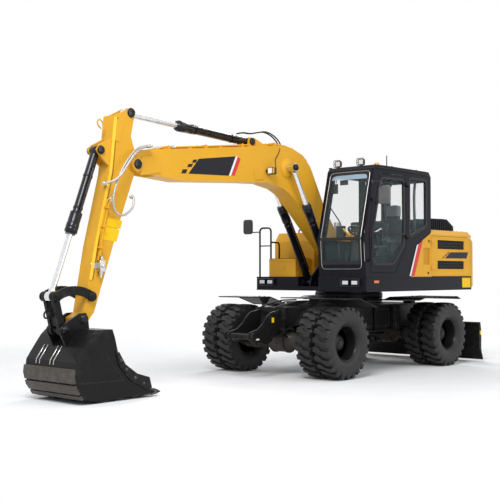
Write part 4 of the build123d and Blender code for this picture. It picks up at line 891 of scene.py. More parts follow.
def work_lamp():
    """Lamp on the boom's left side with its bracket and wire."""
    mesh = bmesh.new()
    boxes(mesh, (1.885, 1.985, 0.178, 0.268, 3.008, 3.104),
          (1.87, 2.0, 0.15, 0.182, 3.035, 3.075),
          (1.93, 1.945, 0.15, 0.262, 3.1, 3.112))
    finish(mesh, "boom_lamp", "plastic", "boom", 0.006)
    mesh = bmesh.new()
    box(mesh, (1.983, 1.992), (0.186, 0.26), (3.016, 3.096))
    finish(mesh, "boom_lamp_lens", "lens", "boom", 0.004)
    line("boom_lamp_wire", [(1.66, 0.1, 3.482), (1.665, 0.158, 3.44), (1.72, 0.158, 3.33),
                            (1.8, 0.157, 3.24), (1.765, 0.157, 3.16), (1.8, 0.16, 3.07),
                            (1.88, 0.185, 3.05)], 0.005, "hose", "boom", 2)


class EXCAVATOR_OT_boom(bpy.types.Operator):
    """Stripes, plates, pipes, pin caps and lamp of the boom"""

    bl_idname = "excavator.boom"
    bl_label = "Boom fittings"

    def execute(self, context):
        lines = context.scene.excavator_lines
        boom_marks()
        boom_plates()
        boom_pipes(lines.pipe)
        work_lamp()
        for k in range(2):
            y = -0.02 + k * 0.05
            run = [(1.5, y, 3.475), (1.54, y, 3.55), (1.68, y, 3.635), (1.86, y, 3.675), (2.04, y, 3.635),
                   (2.2, y * 0.4, 3.6), (2.34, y * 0.4, 3.61), (2.46, y * 0.3, 3.575)]
            line("boom_ram_hose_%d" % k, run, lines.small_hose, "hose", "boom")
        return {"FINISHED"}


ARM_FRONT = [(4.838, 3.515), (4.918, 2.795), (5.148, 1.867), (5.225, 1.46)]


def arm_marks():
    """Two blank yellow plates on each side of the arm."""
    mesh = bmesh.new()
    for out in (1, -1):
        strip(mesh, [(4.937, 2.236), (4.704, 2.205), (4.74, 2.1), (4.975, 2.135)], out * ARM_SIDE, FILM,
              out)
        strip(mesh, [(4.978, 2.122), (4.748, 2.088), (4.8, 1.935), (5.024, 1.963)], out * ARM_SIDE, FILM,
              out)
    finish(mesh, "arm_blank_plates", "plate", "arm")


def arm_edges():
    """Painted highlight strips along the arm's front flange and a painted shade strip along its edge weld.
    """
    for name, finish_name, front, back, y_in, y_out in (
        ("arm_front_flange_highlight", "painted_highlight_yellow", 0.005, -0.01, 0.045, 0.1135),
        ("arm_edge_flange_highlight", "painted_highlight_yellow", 0.0, -0.038, ARM_SIDE, ARM_SIDE + 0.008),
        ("arm_front_weld_shade", "weld", -0.038, -0.062, ARM_SIDE, ARM_SIDE + 0.003),
    ):
        mesh = bmesh.new()
        for out in (1, -1):
            for (x0, z0), (x1, z1) in zip(ARM_FRONT, ARM_FRONT[1:]):
                outline = [(x0 + front, z0), (x1 + front, z1), (x1 + back, z1), (x0 + back, z0)]
                slab(mesh, outline, *layer(out, y_in, y_out))
        finish(mesh, name, finish_name, "arm", 0.001, 1)


def arm_plates(radius):
    """Bosses, lifting eye, pipes, valve and pin caps of the arm."""
    mesh = bmesh.new()
    for out in (1, -1):
        side = out * ARM_SIDE
        turned(mesh, spot(ARM_PIN[0], side, ARM_PIN[1]), (0, out, 0), [(0.0, 0.115), (0.005, 0.112)], 48)
        strip(mesh, [(4.66, 3.46), (4.8, 3.49), (4.83, 3.22), (4.76, 3.19)], side, 0.005, out)
    bar(mesh, [(4.965, 0.0, 3.36), (5.02, 0.0, 3.4), (5.03, 0.0, 3.455), (4.985, 0.0, 3.48),
               (4.94, 0.0, 3.44), (4.93, 0.0, 3.34)], 0.01, 0.03, 10)
    for k, y in enumerate((0.12, 0.152)):
        low = 1.7 + k * 0.05
        bar(mesh, [(4.93, y, 2.48 - k * 0.03), (4.965, y, 2.44 - k * 0.03), (5.045, y, 2.1), (5.1, y, low)],
            radius * 0.9, 0.06, 10)
    for x, z in ((4.985, 2.36), (5.04, 2.12), (5.082, 1.86)):
        box(mesh, (x - 0.022, x + 0.022), (0.1, 0.172), (z - 0.014, z + 0.014))
    finish(mesh, "arm_plates", "yellow", "arm", 0.0025)
    mesh = bmesh.new()
    boxes(mesh, (5.03, 5.11, 0.108, 0.176, 1.56, 1.7),
          (5.06, 5.2, 0.103, 0.112, 1.6, 1.67))
    turned(mesh, spot(5.072, 0.142, 1.56), (0.1, 0, -1),
           [(0.0, 0.026), (0.03, 0.026), (0.032, 0.019), (0.075, 0.019)], 16)
    turned(mesh, spot(5.06, 0.142, 1.7), (0, 0, 1),
           [(0.0, 0.022), (0.03, 0.022), (0.034, 0.015), (0.05, 0.015)], 16)
    turned(mesh, spot(5.07, 0.174, 1.63), (0, 1, 0), [(0.0, 0.022), (0.018, 0.022), (0.022, 0.014)], 16)
    for y, z in ((0.12, 2.475), (0.152, 2.445)):
        rod(mesh, spot(4.905, y, z), spot(4.945, y, z), 0.018, 12)
    finish(mesh, "arm_valve", "zinc", "arm", 0.002, 1)
    mesh = bmesh.new()
    caps(mesh, (ARM_CYL_EYE, 0.099, 0.055, 0.022), (BUCKET_CYL_FOOT, 0.099, 0.05, 0.022))
    finish(mesh, "arm_pin_caps", "barrel", "arm", 0.0015)


class EXCAVATOR_OT_arm(bpy.types.Operator):
    """Plates, pipes, valve and pin caps of the arm"""

    bl_idname = "excavator.arm"
    bl_label = "Arm fittings"

    def execute(self, context):
        arm_marks()
        arm_edges()
        arm_plates(context.scene.excavator_lines.pipe)
        return {"FINISHED"}


# Rams

def ram_fittings(mesh, foot, eye, y, radius, length, out, swell=0.015):
    """Gland nut, ports and the pipe along a ram's barrel; out says on which side the pipe lies."""
    start, end = spot(foot[0], y, foot[1]), spot(eye[0], y, eye[1])
    axis = (end - start).normalized()
    square = Vector((-axis.z, 0, axis.x))
    gland = radius + swell
    turned(mesh, start + axis * (length - 0.291), axis,
           [(0.0, radius), (0.008, gland - 0.004), (0.15, gland - 0.004), (0.156, gland), (0.205, gland),
            (0.209, gland - 0.004), (0.215, gland), (0.262, gland), (0.27, gland - 0.006)], 40)
    pipe_side = Vector((0, out, 0)) * (radius + 0.022)
    lift = square * 0.012
    run = [start + axis * 0.22 + pipe_side * 0.6 + lift, start + axis * 0.25 + pipe_side + lift,
           start + axis * (length - 0.2) + pipe_side + lift,
           start + axis * (length - 0.12) + pipe_side * 0.86 + lift,
           start + axis * (length - 0.1) + pipe_side * 0.5 + lift]
    swept(mesh, rounded(run, 0.03), 0.011, 10)
    for place in (0.34, length - 0.36):
        centre = start + axis * place
        turned(mesh, centre, axis, [(0.0, radius + 0.001), (0.001, radius + 0.005), (0.027, radius + 0.005),
                                    (0.028, radius + 0.001)], 32)
        rod(mesh, centre + axis * 0.014 + Vector((0, out, 0)) * radius,
            centre + axis * 0.014 + pipe_side * 1.05 + lift, 0.014, 10)


class EXCAVATOR_OT_rams(bpy.types.Operator):
    """Glands, clamps and pipes of the rams"""

    bl_idname = "excavator.rams"
    bl_label = "Ram fittings"

    def execute(self, context):
        mesh = bmesh.new()
        for out in (1, -1):
            ram_fittings(mesh, BOOM_CYL_FOOT, BOOM_CYL_EYE, out * BOOM_CYL_Y, 0.057, 1.4, -out)
        finish(mesh, "boom_ram_fittings", "barrel", "boom_barrels", 0.0015, 1)
        mesh = bmesh.new()
        ram_fittings(mesh, ARM_CYL_FOOT, ARM_CYL_EYE, 0.0, 0.062, 1.43, 1)
        finish(mesh, "arm_ram_fittings", "barrel", "arm_barrel", 0.0015, 1)
        mesh = bmesh.new()
        ram_fittings(mesh, BUCKET_CYL_FOOT, ROD_PIN, 0.0, 0.056, 1.13, 1, 0.024)
        finish(mesh, "bucket_ram_fittings", "barrel", "bucket_barrel", 0.0015, 1)
        return {"FINISHED"}


# Cab

def inset(outline, width):
    """The same outline in the side view, drawn in by a width."""
    area = sum(a[0] * b[1] - b[0] * a[1] for a, b in zip(outline, outline[1:] + outline[:1]))
    turn = 1 if area > 0 else -1
    count = len(outline)
    points = []
    for i in range(count):
        before, here, after = (Vector(outline[k % count]) for k in (i - 1, i, i + 1))
        first, second = (here - before).normalized(), (after - here).normalized()
        normal = (Vector((-first.y, first.x)) + Vector((-second.y, second.x))) * turn
        normal.normalize()
        reach = width / max(0.35, normal.dot(Vector((-first.y, first.x)) * turn))
        points.append(tuple(here + normal * reach))
    return points


def soft(outline, radius):
    """An outline in the side view whose corners are rounded."""
    return [(p.x, p.y) for p in rounded([(x, z, 0) for x, z in outline], radius, 4, True)]


def band(mesh, outline, width, y_low, y_high):
    """A flat ring along an outline of the side view; a negative width lies outside it."""
    inner = inset(outline, width)
    rings = ((outline, y_high), (inner, y_high), (inner, y_low), (outline, y_low))
    bridge(mesh, [[mesh.verts.new(spot(x, y, z)) for x, z in points] for points, y in rings], True)


DOOR_OUTLINE = [(0.206, 1.551), (0.862, 1.551), (0.871, 2.1), (0.611, 3.054), (-0.094, 3.074),
                (-0.114, 1.982)]
DOOR_WINDOW = [(0.24, 1.685), (0.8, 1.685), (0.81, 2.1), (0.58, 2.99), (-0.04, 3.0), (-0.05, 2.01)]
QUARTER_WINDOW = [(-0.2, 3.04), (-0.7, 3.04), (-0.7, 2.3), (-0.2, 2.12)]
SCREEN_BEND = 2.06
WINDSCREEN = ((1.0, 1.7), (1.026, SCREEN_BEND), (0.764, 3.08))
WINDSCREEN_Y = (0.44, 1.156)


def screen_x(z):
    """The windscreen's outer face at a height."""
    (x0, z0), (x1, z1), (x2, z2) = WINDSCREEN
    if z < z1:
        return x0 + (x1 - x0) * (z - z0) / (z1 - z0)
    return x1 + (x2 - x1) * (z - z1) / (z2 - z1)


def screen_panel(mesh, y_low, y_high, z_low, z_high, lift, thickness):
    """A sheet that lies on the windscreen."""
    for low, high in ((z_low, min(z_high, SCREEN_BEND)), (max(z_low, SCREEN_BEND), z_high)):
        if high <= low:
            continue
        points = [(screen_x(low) + lift, low), (screen_x(low) + lift + thickness, low),
                  (screen_x(high) + lift + thickness, high), (screen_x(high) + lift, high)]
        slab(mesh, points, y_low, y_high)


def cab_seals():
    """Black seals round the panes, the sun strip, and thin bright zinc bars that stand in for painted
    highlights on the windscreen's edge and the left front pillar.
    """
    y_low, y_high = WINDSCREEN_Y
    mesh = bmesh.new()
    band(mesh, soft(inset(DOOR_WINDOW, -0.022), 0.09), 0.04, CAB_LEFT - 0.006, CAB_LEFT + 0.005)
    slab(mesh, [(-0.05, 2.14), (0.8, 2.14), (0.794, 2.164), (-0.05, 2.164)], CAB_LEFT - 0.036,
         CAB_LEFT + 0.001)
    slab(mesh, [(-0.05, 2.01), (0.24, 1.685), (0.262, 1.685), (0.165, 1.85), (0.06, 1.955), (-0.012, 2.012),
                (-0.022, 2.128), (-0.05, 2.128)], CAB_LEFT - 0.036, CAB_LEFT - 0.004)
    finish(mesh, "door_seals", "seal", "cab_door", 0.003)
    mesh = bmesh.new()
    band(mesh, soft(inset(QUARTER_WINDOW, -0.025), 0.1), 0.045, CAB_LEFT - 0.008, CAB_LEFT + 0.005)
    for low, high in ((y_low - 0.025, y_low + 0.03), (y_high - 0.03, y_high + 0.025)):
        screen_panel(mesh, low, high, 1.675, 3.1, 0.001, 0.01)
    for low, high in ((1.67, 1.725), (2.035, 2.085), (3.05, 3.105)):
        screen_panel(mesh, y_low - 0.02, y_high + 0.02, low, high, 0.001, 0.012)
    for y, turn in ((y_low + 0.02, 1), (y_high - 0.02, -1)):
        for z, up in ((1.72, 1), (2.035, -1), (2.085, 1), (3.05, -1)):
            corner = [(0, 0), (0.085, 0), (0.035, 0.012), (0.012, 0.035), (0, 0.085)]
            points = [(y + turn * a, z + up * b) for a, b in corner]
            front = [mesh.verts.new(spot(screen_x(c) + 0.011, a, c)) for a, c in points]
            mesh.faces.new(front)
    box(mesh, (-0.838, -0.834), (CAB_RIGHT + 0.08, CAB_LEFT - 0.08), (2.33, 2.36))
    finish(mesh, "cab_seals", "seal", "house", 0.002, 1)
    mesh = bmesh.new()
    screen_panel(mesh, y_low + 0.03, y_high - 0.03, 2.975, 3.052, 0.002, 0.003)
    finish(mesh, "windscreen_shade", "shade", "house")
    # Painted highlights: a thin bright zinc bar round the windscreen's edge and one down the left front
    # pillar stand in for lines of light on the black frame.
    mesh = bmesh.new()
    inner, outer = y_low - 0.01, y_high + 0.018
    edge = ((inner, 1.605), (outer, 1.605), (outer, SCREEN_BEND), (outer, 3.092), (inner, 3.092),
            (inner, SCREEN_BEND))
    bar(mesh, [(screen_x(z) + 0.013, y, z) for y, z in edge], 0.0038, 0.075, 8, True)
    bar(mesh, [(screen_x(z) - 0.006, CAB_LEFT - 0.012, z) for z in (1.72, 2.06, 2.6, 3.04)], 0.0065, 0.1, 8)
    finish(mesh, "cab_highlight_bars", "zinc", "house", 0.0, 1)


def cab_outside():
    """Handles, rain strip, roof covers, wiper, inside mirrors and grip."""
    mesh = bmesh.new()
    bar(mesh, [(0.755, CAB_LEFT, 1.9), (0.755, CAB_LEFT + 0.052, 1.915), (0.768, CAB_LEFT + 0.052, 2.095),
               (0.768, CAB_LEFT, 2.11)], 0.011, 0.03, 12)
    boxes(mesh, (0.7, 0.785, CAB_LEFT, CAB_LEFT + 0.018, 1.8, 1.86),
          (0.706, 0.765, CAB_LEFT + 0.018, CAB_LEFT + 0.03, 1.812, 1.848))
    for x, z in ((0.23, 1.6), (0.8, 1.6), (0.83, 2.09), (0.6, 3.015), (-0.075, 3.035)):
        bolt(mesh, spot(x, CAB_LEFT, z), (0, 1, 0), 0.009)
    finish(mesh, "door_handle", "plastic", "cab_door", 0.004)
    mesh = bmesh.new()
    bar(mesh, [(0.7, CAB_LEFT - 0.08, 3.155), (0.735, CAB_LEFT + 0.002, 3.13),
               (-0.1, CAB_LEFT + 0.006, 3.142), (-0.8, CAB_LEFT + 0.002, 3.12)], 0.013, 0.05, 10)
    bar(mesh, [(0.93, CAB_LEFT, 1.72), (0.95, CAB_LEFT + 0.06, 1.76), (0.985, CAB_LEFT + 0.06, 2.1),
               (0.86, CAB_LEFT + 0.06, 2.62), (0.835, CAB_LEFT, 2.66)], 0.014, 0.06, 12)
    boxes(mesh, (-0.8, 0.62, CAB_RIGHT + 0.06, CAB_LEFT - 0.06, 3.18, 3.196),
          (-0.62, 0.34, CAB_RIGHT + 0.14, CAB_LEFT - 0.14, 3.196, 3.214))
    for x in (-0.55, 0.15):
        for y in (CAB_RIGHT + 0.09, CAB_LEFT - 0.09):
            bolt(mesh, spot(x, y, 3.196), (0, 0, 1), 0.012)
    for k in range(5):
        bolt(mesh, spot(0.987, 0.46 + k * 0.165, 1.53), (1, 0, 0), 0.01)
    finish(mesh, "cab_rails", "black", "house", 0.004)
    mesh = bmesh.new()
    pivot = (screen_x(2.14) + 0.018, 0.86, 2.14)
    bar(mesh, [pivot, (screen_x(2.32) + 0.03, 0.76, 2.32), (screen_x(2.58) + 0.022, 0.5, 2.58)], 0.009,
        0.05, 8)
    turned(mesh, spot(pivot[0] - 0.02, pivot[1], pivot[2]), (1, 0, 0.2),
           [(0.0, 0.03), (0.03, 0.03), (0.038, 0.022)], 20)
    box(mesh, (0.752, 0.768), (0.6, 0.745), (2.9, 2.975))
    rod(mesh, spot(0.74, 0.67, 2.97), spot(0.7, 0.67, 3.06), 0.007, 8)
    box(mesh, (0.742, 0.756), (0.455, 0.545), (2.775, 2.925))
    rod(mesh, spot(0.74, 0.5, 2.92), spot(0.7, 0.5, 3.06), 0.006, 8)
    finish(mesh, "wiper", "plastic", "house", 0.0015, 1)
    mesh = bmesh.new()
    bar(mesh, [(0.955, 0.8, 2.215), (0.962, 0.85, 2.172), (0.972, 0.935, 2.112)], 0.013, 0.05, 10)
    finish(mesh, "screen_grips", "plate", "house", 0.001, 1)


def lamps():
    """Lenses, rims and guards of the lamps on the roof and at the front."""
    mesh = bmesh.new()
    for y in (0.46, 0.9):
        box(mesh, (0.6345, 0.6405), (y - 0.041, y + 0.041), (3.216, 3.289))
    for y in (0.88, 1.05):
        box(mesh, (1.0195, 1.0255), (y - 0.053, y + 0.053), (1.372, 1.428))
    for y in (-1.09, -0.92):
        box(mesh, (0.6742, 0.6802), (y - 0.053, y + 0.053), (1.372, 1.428))
    finish(mesh, "lamp_lenses", "lens", "house", 0.003)
    mesh = bmesh.new()
    for y in (0.46, 0.9):
        bar(mesh, front_rectangle(0.655, (y - 0.062, y + 0.062), (3.2, 3.307)), 0.006, 0.02, 8, True)
        for out in (1, -1):
            bar(mesh, [(0.655, y + out * 0.062, 3.25), (0.61, y + out * 0.062, 3.25)], 0.005, 0.02, 8)
    for x, y_low, y_high in ((1.026, 0.795, 1.135), (0.6805, -1.175, -0.835)):
        bar(mesh, front_rectangle(x, (y_low, y_high), (1.345, 1.455)), 0.007, 0.02, 8, True)
        for y in (y_low + 0.01, y_high - 0.01, (y_low + y_high) / 2):
            for z in (1.345, 1.455):
                rod(mesh, spot(x - 0.041, y, z), spot(x, y, z), 0.005, 8)
    box(mesh, (0.62, 0.66), (0.3, 0.345), (3.18, 3.2))
    finish(mesh, "lamp_guards", "plastic", "house", 0.001, 1)
    mesh = bmesh.new()
    turned(mesh, spot(0.21, 0.9, 3.198), (0, 0, 1),
           [(0.0, 0.052), (0.004, 0.0465), (0.06, 0.044), (0.078, 0.034), (0.0795, 0.0)], 40)
    finish(mesh, "beacon_dome", "beacon", "house")


def round_head(mesh, x, y, z, corner):
    """A plain block whose outline seen from the front has round corners."""
    outline = rounded(front_rectangle(0, y, z), corner, 6, True)
    bridge(mesh, [[mesh.verts.new(spot(place, p.y, p.z)) for p in outline] for place in x])


def mirrors():
    """Rounded mirror heads on bent arms."""
    mesh = bmesh.new()
    round_head(mesh, (0.79, 0.832), (1.35, 1.556), (2.565, 2.845), 0.055)
    piece = finish(mesh, "mirror_left_head", "grey_plastic", "house", 0.019, 5)
    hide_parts("mirror_left")
    mesh = bmesh.new()
    round_head(mesh, (0.606, 0.646), (-1.556, -1.35), (2.205, 2.455), 0.055)
    piece = finish(mesh, "mirror_right_head", "plastic", "house", 0.019, 5)
    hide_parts("mirror_right")
    mesh = bmesh.new()
    bar(mesh, [(0.822, CAB_LEFT, 2.91), (0.825, 1.4, 2.91), (0.825, 1.4, 2.8)], 0.01, 0.05, 12)
    bar(mesh, [(0.7, CAB_LEFT, 2.6), (0.8, 1.34, 2.64), (0.815, 1.4, 2.64)], 0.008, 0.04, 12)
    bar(mesh, [(0.615, -1.207, 2.235), (0.618, -1.38, 2.235), (0.62, -1.4, 2.26)], 0.01, 0.03, 12)
    for x, y, z in ((0.822, CAB_LEFT, 2.91), (0.7, CAB_LEFT, 2.6)):
        turned(mesh, spot(x, y, z), (0, 1, 0),
               [(0.0, 0.028), (0.008, 0.028), (0.012, 0.018), (0.03, 0.018)], 16)
    finish(mesh, "mirror_arms", "plastic", "house", 0.0015, 1)
    mesh = bmesh.new()
    round_head(mesh, (0.7875, 0.7905), (1.368, 1.538), (2.585, 2.825), 0.04)
    round_head(mesh, (0.6035, 0.6065), (-1.538, -1.368), (2.225, 2.435), 0.04)
    finish(mesh, "mirror_faces", "mirror", "house", 0.001)


def cab_inside():
    """Armrest consoles, levers, wheel rim, monitor and floor mat seen through the glass."""
    mesh = bmesh.new()
    for y in (0.5, 1.1):
        boxes(mesh, (-0.3, 0.16, y - 0.045, y + 0.045, 1.86, 2.02),
              (0.02, 0.3, y - 0.052, y + 0.052, 2.02, 2.07))
        turned(mesh, spot(0.22, y, 2.07), (0.1, 0, 1),
               [(0.0, 0.045), (0.012, 0.042), (0.03, 0.02), (0.05, 0.014)], 20)
        bar(mesh, [(0.225, y, 2.1), (0.24, y, 2.2), (0.235, y, 2.25)], 0.017, 0.05, 12)
        turned(mesh, spot(0.235, y, 2.235), (-0.05, 0, 1),
               [(0.0, 0.02), (0.02, 0.028), (0.06, 0.03), (0.075, 0.018), (0.078, 0.0)], 20)
    boxes(mesh, (-0.48, -0.1, 0.62, 0.98, 1.527, 1.7),
          (0.62, 0.66, 0.44, 0.6, 2.06, 2.28))
    bar(mesh, [(0.66, 0.5, 1.72), (0.67, 0.5, 2.0), (0.65, 0.52, 2.1)], 0.014, 0.05, 10)
    for y in (0.66, 0.94):
        box(mesh, (0.72, 0.86), (y - 0.045, y + 0.045), (1.545, 1.575))
        bar(mesh, [(0.74, y, 1.57), (0.7, y, 1.72), (0.68, y, 1.84)], 0.01, 0.04, 10)
        turned(mesh, spot(0.68, y, 1.83), (-0.1, 0, 1),
               [(0.0, 0.012), (0.01, 0.022), (0.035, 0.022), (0.042, 0.0)], 16)
    box(mesh, (-0.8, -0.7), (0.46, 1.14), (1.53, 2.26))
    finish(mesh, "cab_consoles", "plastic", "house", 0.012, 3)
    mesh = bmesh.new()
    centre = spot(0.545, 0.8, 2.185)
    along, side, up = cross_frame((-1, 0, 2))
    rim = [2 * pi * k / 40 for k in range(40)]
    swept(mesh, [centre + (side * cos(a) + up * sin(a)) * 0.172 for a in rim], 0.0155, 12, True)
    for k in range(3):
        angle = 2 * pi * k / 3 + pi / 2
        rod(mesh, centre, centre + (side * cos(angle) + up * sin(angle)) * 0.17, 0.012, 10)
    turned(mesh, centre - along * 0.05, along,
           [(0.0, 0.026), (0.03, 0.034), (0.055, 0.048), (0.068, 0.04), (0.07, 0.0)], 28)
    slab(mesh, [(0.52, 1.527), (0.76, 1.527), (0.7, 1.6), (0.65, 1.99), (0.57, 2.15), (0.53, 2.14),
                (0.59, 1.96), (0.6, 1.6)], 0.745, 0.855)
    piece = finish(mesh, "steering_wheel", "plastic", "house", 0.006)
    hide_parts("steering_column")
    mesh = bmesh.new()
    for k in range(9):
        box(mesh, (0.18 + k * 0.05, 0.205 + k * 0.05), (0.45, 1.14), (1.526, 1.536))
    finish(mesh, "floor_mat", "grip", "house", 0.002)
    for number, points in enumerate((
        [(-0.66, 0.5, 2.3), (-0.6, 0.52, 2.62), (-0.45, 0.6, 2.86), (-0.5, 0.72, 3.02)],
        [(-0.7, 1.02, 2.2), (-0.62, 1.06, 2.55), (-0.55, 1.1, 2.85), (-0.62, 1.08, 3.03)],
    )):
        line("cab_tube_%d" % number, points, 0.022, "grey_plastic", "house", 4)


def seat_pads():
    """Suspension seat: crowned cushions with side bolsters and a head pad."""
    cushions = (
        ("seat_cushion", (-0.335, 0.575, 1.82), (0.145, 1.025, 1.975), 0.1, "cloth"),
        ("seat_back", (-0.478, 0.6, 1.93), (-0.345, 1.0, 2.43), 0.14, "cloth"),
        ("seat_head_pad", (-0.47, 0.68, 2.45), (-0.36, 0.92, 2.645), 0.16, "head_cover"),
    )
    for name, low, high, crown, finish_name in cushions:
        pad = cushion(name, low, high, crown, finish_name, "house")
        if name == "seat_cushion":
            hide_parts("seat")
    mesh = bmesh.new()
    box(mesh, (-0.3, 0.11), (0.61, 0.99), (1.7, 1.83))
    for k in range(5):
        box(mesh, (-0.27, 0.08), (0.625, 0.975), (1.545 + k * 0.032, 1.562 + k * 0.032))
    boxes(mesh, (-0.462, -0.37, 0.7, 0.9, 2.42, 2.47),
          (-0.47, -0.44, 0.62, 0.98, 1.8, 1.96))
    finish(mesh, "seat_base", "plastic", "house", 0.006)


class EXCAVATOR_OT_cab(bpy.types.Operator):
    """Seals, handles, lamps, mirrors, seat and controls of the cab"""

    bl_idname = "excavator.cab"
    bl_label = "Cab fittings"

    def execute(self, context):
        cab_seals()
        cab_outside()
        lamps()
        mirrors()
        cab_inside()
        seat_pads()
        return {"FINISHED"}


# House

GRILLES = ((-1.894, -1.031, 1.94, 2.09), (-1.89, -1.028, 1.61, 1.75))
HOUSE_Y = 1.24
TAIL_RADIUS = 2.29
DOOR_LEFT_FRONT = -0.852
DOOR_REAR = -2.132
STRIPE_Y = (1.2434, 1.2462)


def engine_door(name, out):
    """Grilles, seams and blank badge of one engine door."""
    mesh = bmesh.new()
    slats = 26
    for x_low, x_high, z_low, z_high in GRILLES:
        step = (x_high - x_low) / slats
        for k in range(slats):
            x = x_low + step * (k + 0.5)
            box(mesh, (x - step * 0.24, x + step * 0.24), layer(out, HOUSE_Y - 0.0155, HOUSE_Y - 0.003),
                (z_low, z_high))
        for share in (0.33, 0.67):
            z = z_low + (z_high - z_low) * share
            box(mesh, (x_low, x_high), layer(out, HOUSE_Y - 0.0155, HOUSE_Y - 0.002),
                (z - 0.004, z + 0.004))
        box(mesh, (x_low, x_high), layer(out, HOUSE_Y - 0.0158, HOUSE_Y - 0.0135), (z_low, z_high))
    finish(mesh, name + "_grilles", "grille", name, 0.001, 1)
    mesh = bmesh.new()
    frames = [(x_low - 0.022, x_high + 0.022, z_low - 0.018, z_high + 0.018, 0.005)
              for x_low, x_high, z_low, z_high in GRILLES]
    frames.append((DOOR_REAR + 0.012, DOOR_LEFT_FRONT - 0.012, 1.5, 2.142, 0.004))
    for x_low, x_high, z_low, z_high, height in frames:
        outline = soft(rectangle(x_low, x_high, z_low, z_high), 0.03)
        band(mesh, outline, 0.02, *layer(out, HOUSE_Y, HOUSE_Y + height))
    finish(mesh, name + "_frame", "yellow", name, 0.002)
    mesh = bmesh.new()
    low, high = layer(out, HOUSE_Y, HOUSE_Y + FILM)
    slab(mesh, [(-1.44, 1.892), (-2.035, 1.903), (-1.985, 1.795), (-1.27, 1.789)], low, high)
    for k in range(3):
        x, z = -1.3245 + k * 0.075, 1.865 - k * 0.0375
        slab(mesh, [(x, z), (x - 0.045, z), (x - 0.095, z + 0.03), (x - 0.05, z + 0.03)], low, high)
    finish(mesh, name + "_blank_badge", "decal", name, 0.0008, 1)


def side_panel():
    """Stripes, louvres, latches and edge of the panel behind the cab."""
    mesh = bmesh.new()
    slab(mesh, [(-0.402, 1.988), (-0.444, 2.008), (-0.222, 1.498), (-0.184, 1.498)], *STRIPE_Y)
    finish(mesh, "panel_white_stripe", "white", "house")
    mesh = bmesh.new()
    slab(mesh, [(-0.444, 2.008), (-0.575, 2.068), (-0.322, 1.498), (-0.222, 1.498)], *STRIPE_Y)
    finish(mesh, "panel_red_stripe", "red", "house")
    mesh = bmesh.new()
    for k in range(8):
        z = 1.693 + k * 0.0325
        slab(mesh, rectangle(-0.788, -0.602, z + 0.008, z + 0.016), 1.2245, 1.239)
    finish(mesh, "panel_louvres", "yellow", "house", 0.0012, 1)
    mesh = bmesh.new()
    for x, z in ((-0.766, 2.063), (-0.745, 1.547)):
        turned(mesh, spot(x, HOUSE_Y, z), (0, 1, 0),
               [(0.0, 0.022), (0.004, 0.022), (0.007, 0.018), (0.008, 0.008), (0.012, 0.006)], 24)
    finish(mesh, "panel_latches", "plastic", "house", 0.0008, 1)
    mesh = bmesh.new()
    band(mesh, [(-0.262, 1.494), (-0.572, 2.052), (-0.842, 2.18), (-0.842, 1.494)], 0.016, HOUSE_Y,
         HOUSE_Y + 0.003)
    finish(mesh, "panel_edge", "yellow", "house", 0.0015)


def skirts():
    """Lips, marker, blank plates and bolts of the house's skirts."""
    mesh = bmesh.new()
    for out in (1, -1):
        front = 0.985 if out > 0 else 0.64
        for z in ((1.262, 1.28), (1.47, 1.484)):
            box(mesh, (-2.138, front), layer(out, SKIRT_Y - 0.02, SKIRT_Y + 0.006), z)
    for k in range(4):
        for z in (1.465, 1.285):
            bolt(mesh, spot(0.985, 0.45 + k * 0.24, z), (1, 0, 0), 0.01)
    finish(mesh, "skirt_lips", "black", "house", 0.003)
    mesh = bmesh.new()
    for out in (1, -1):
        slab(mesh, [(-1.827, 1.466), (-2.11, 1.466), (-2.11, 1.3), (-1.835, 1.3)],
             *layer(out, SKIRT_Y, SKIRT_Y + 0.003))
    finish(mesh, "skirt_blank_plates", "plate", "house", 0.0008, 1)
    mesh = bmesh.new()
    for out, x in ((1, 0.728), (-1, 0.5)):
        box(mesh, (x - 0.062, x + 0.062), layer(out, SKIRT_Y, SKIRT_Y + 0.012), (1.393, 1.432))
    finish(mesh, "marker_lamps", "amber", "house", 0.005, 3)


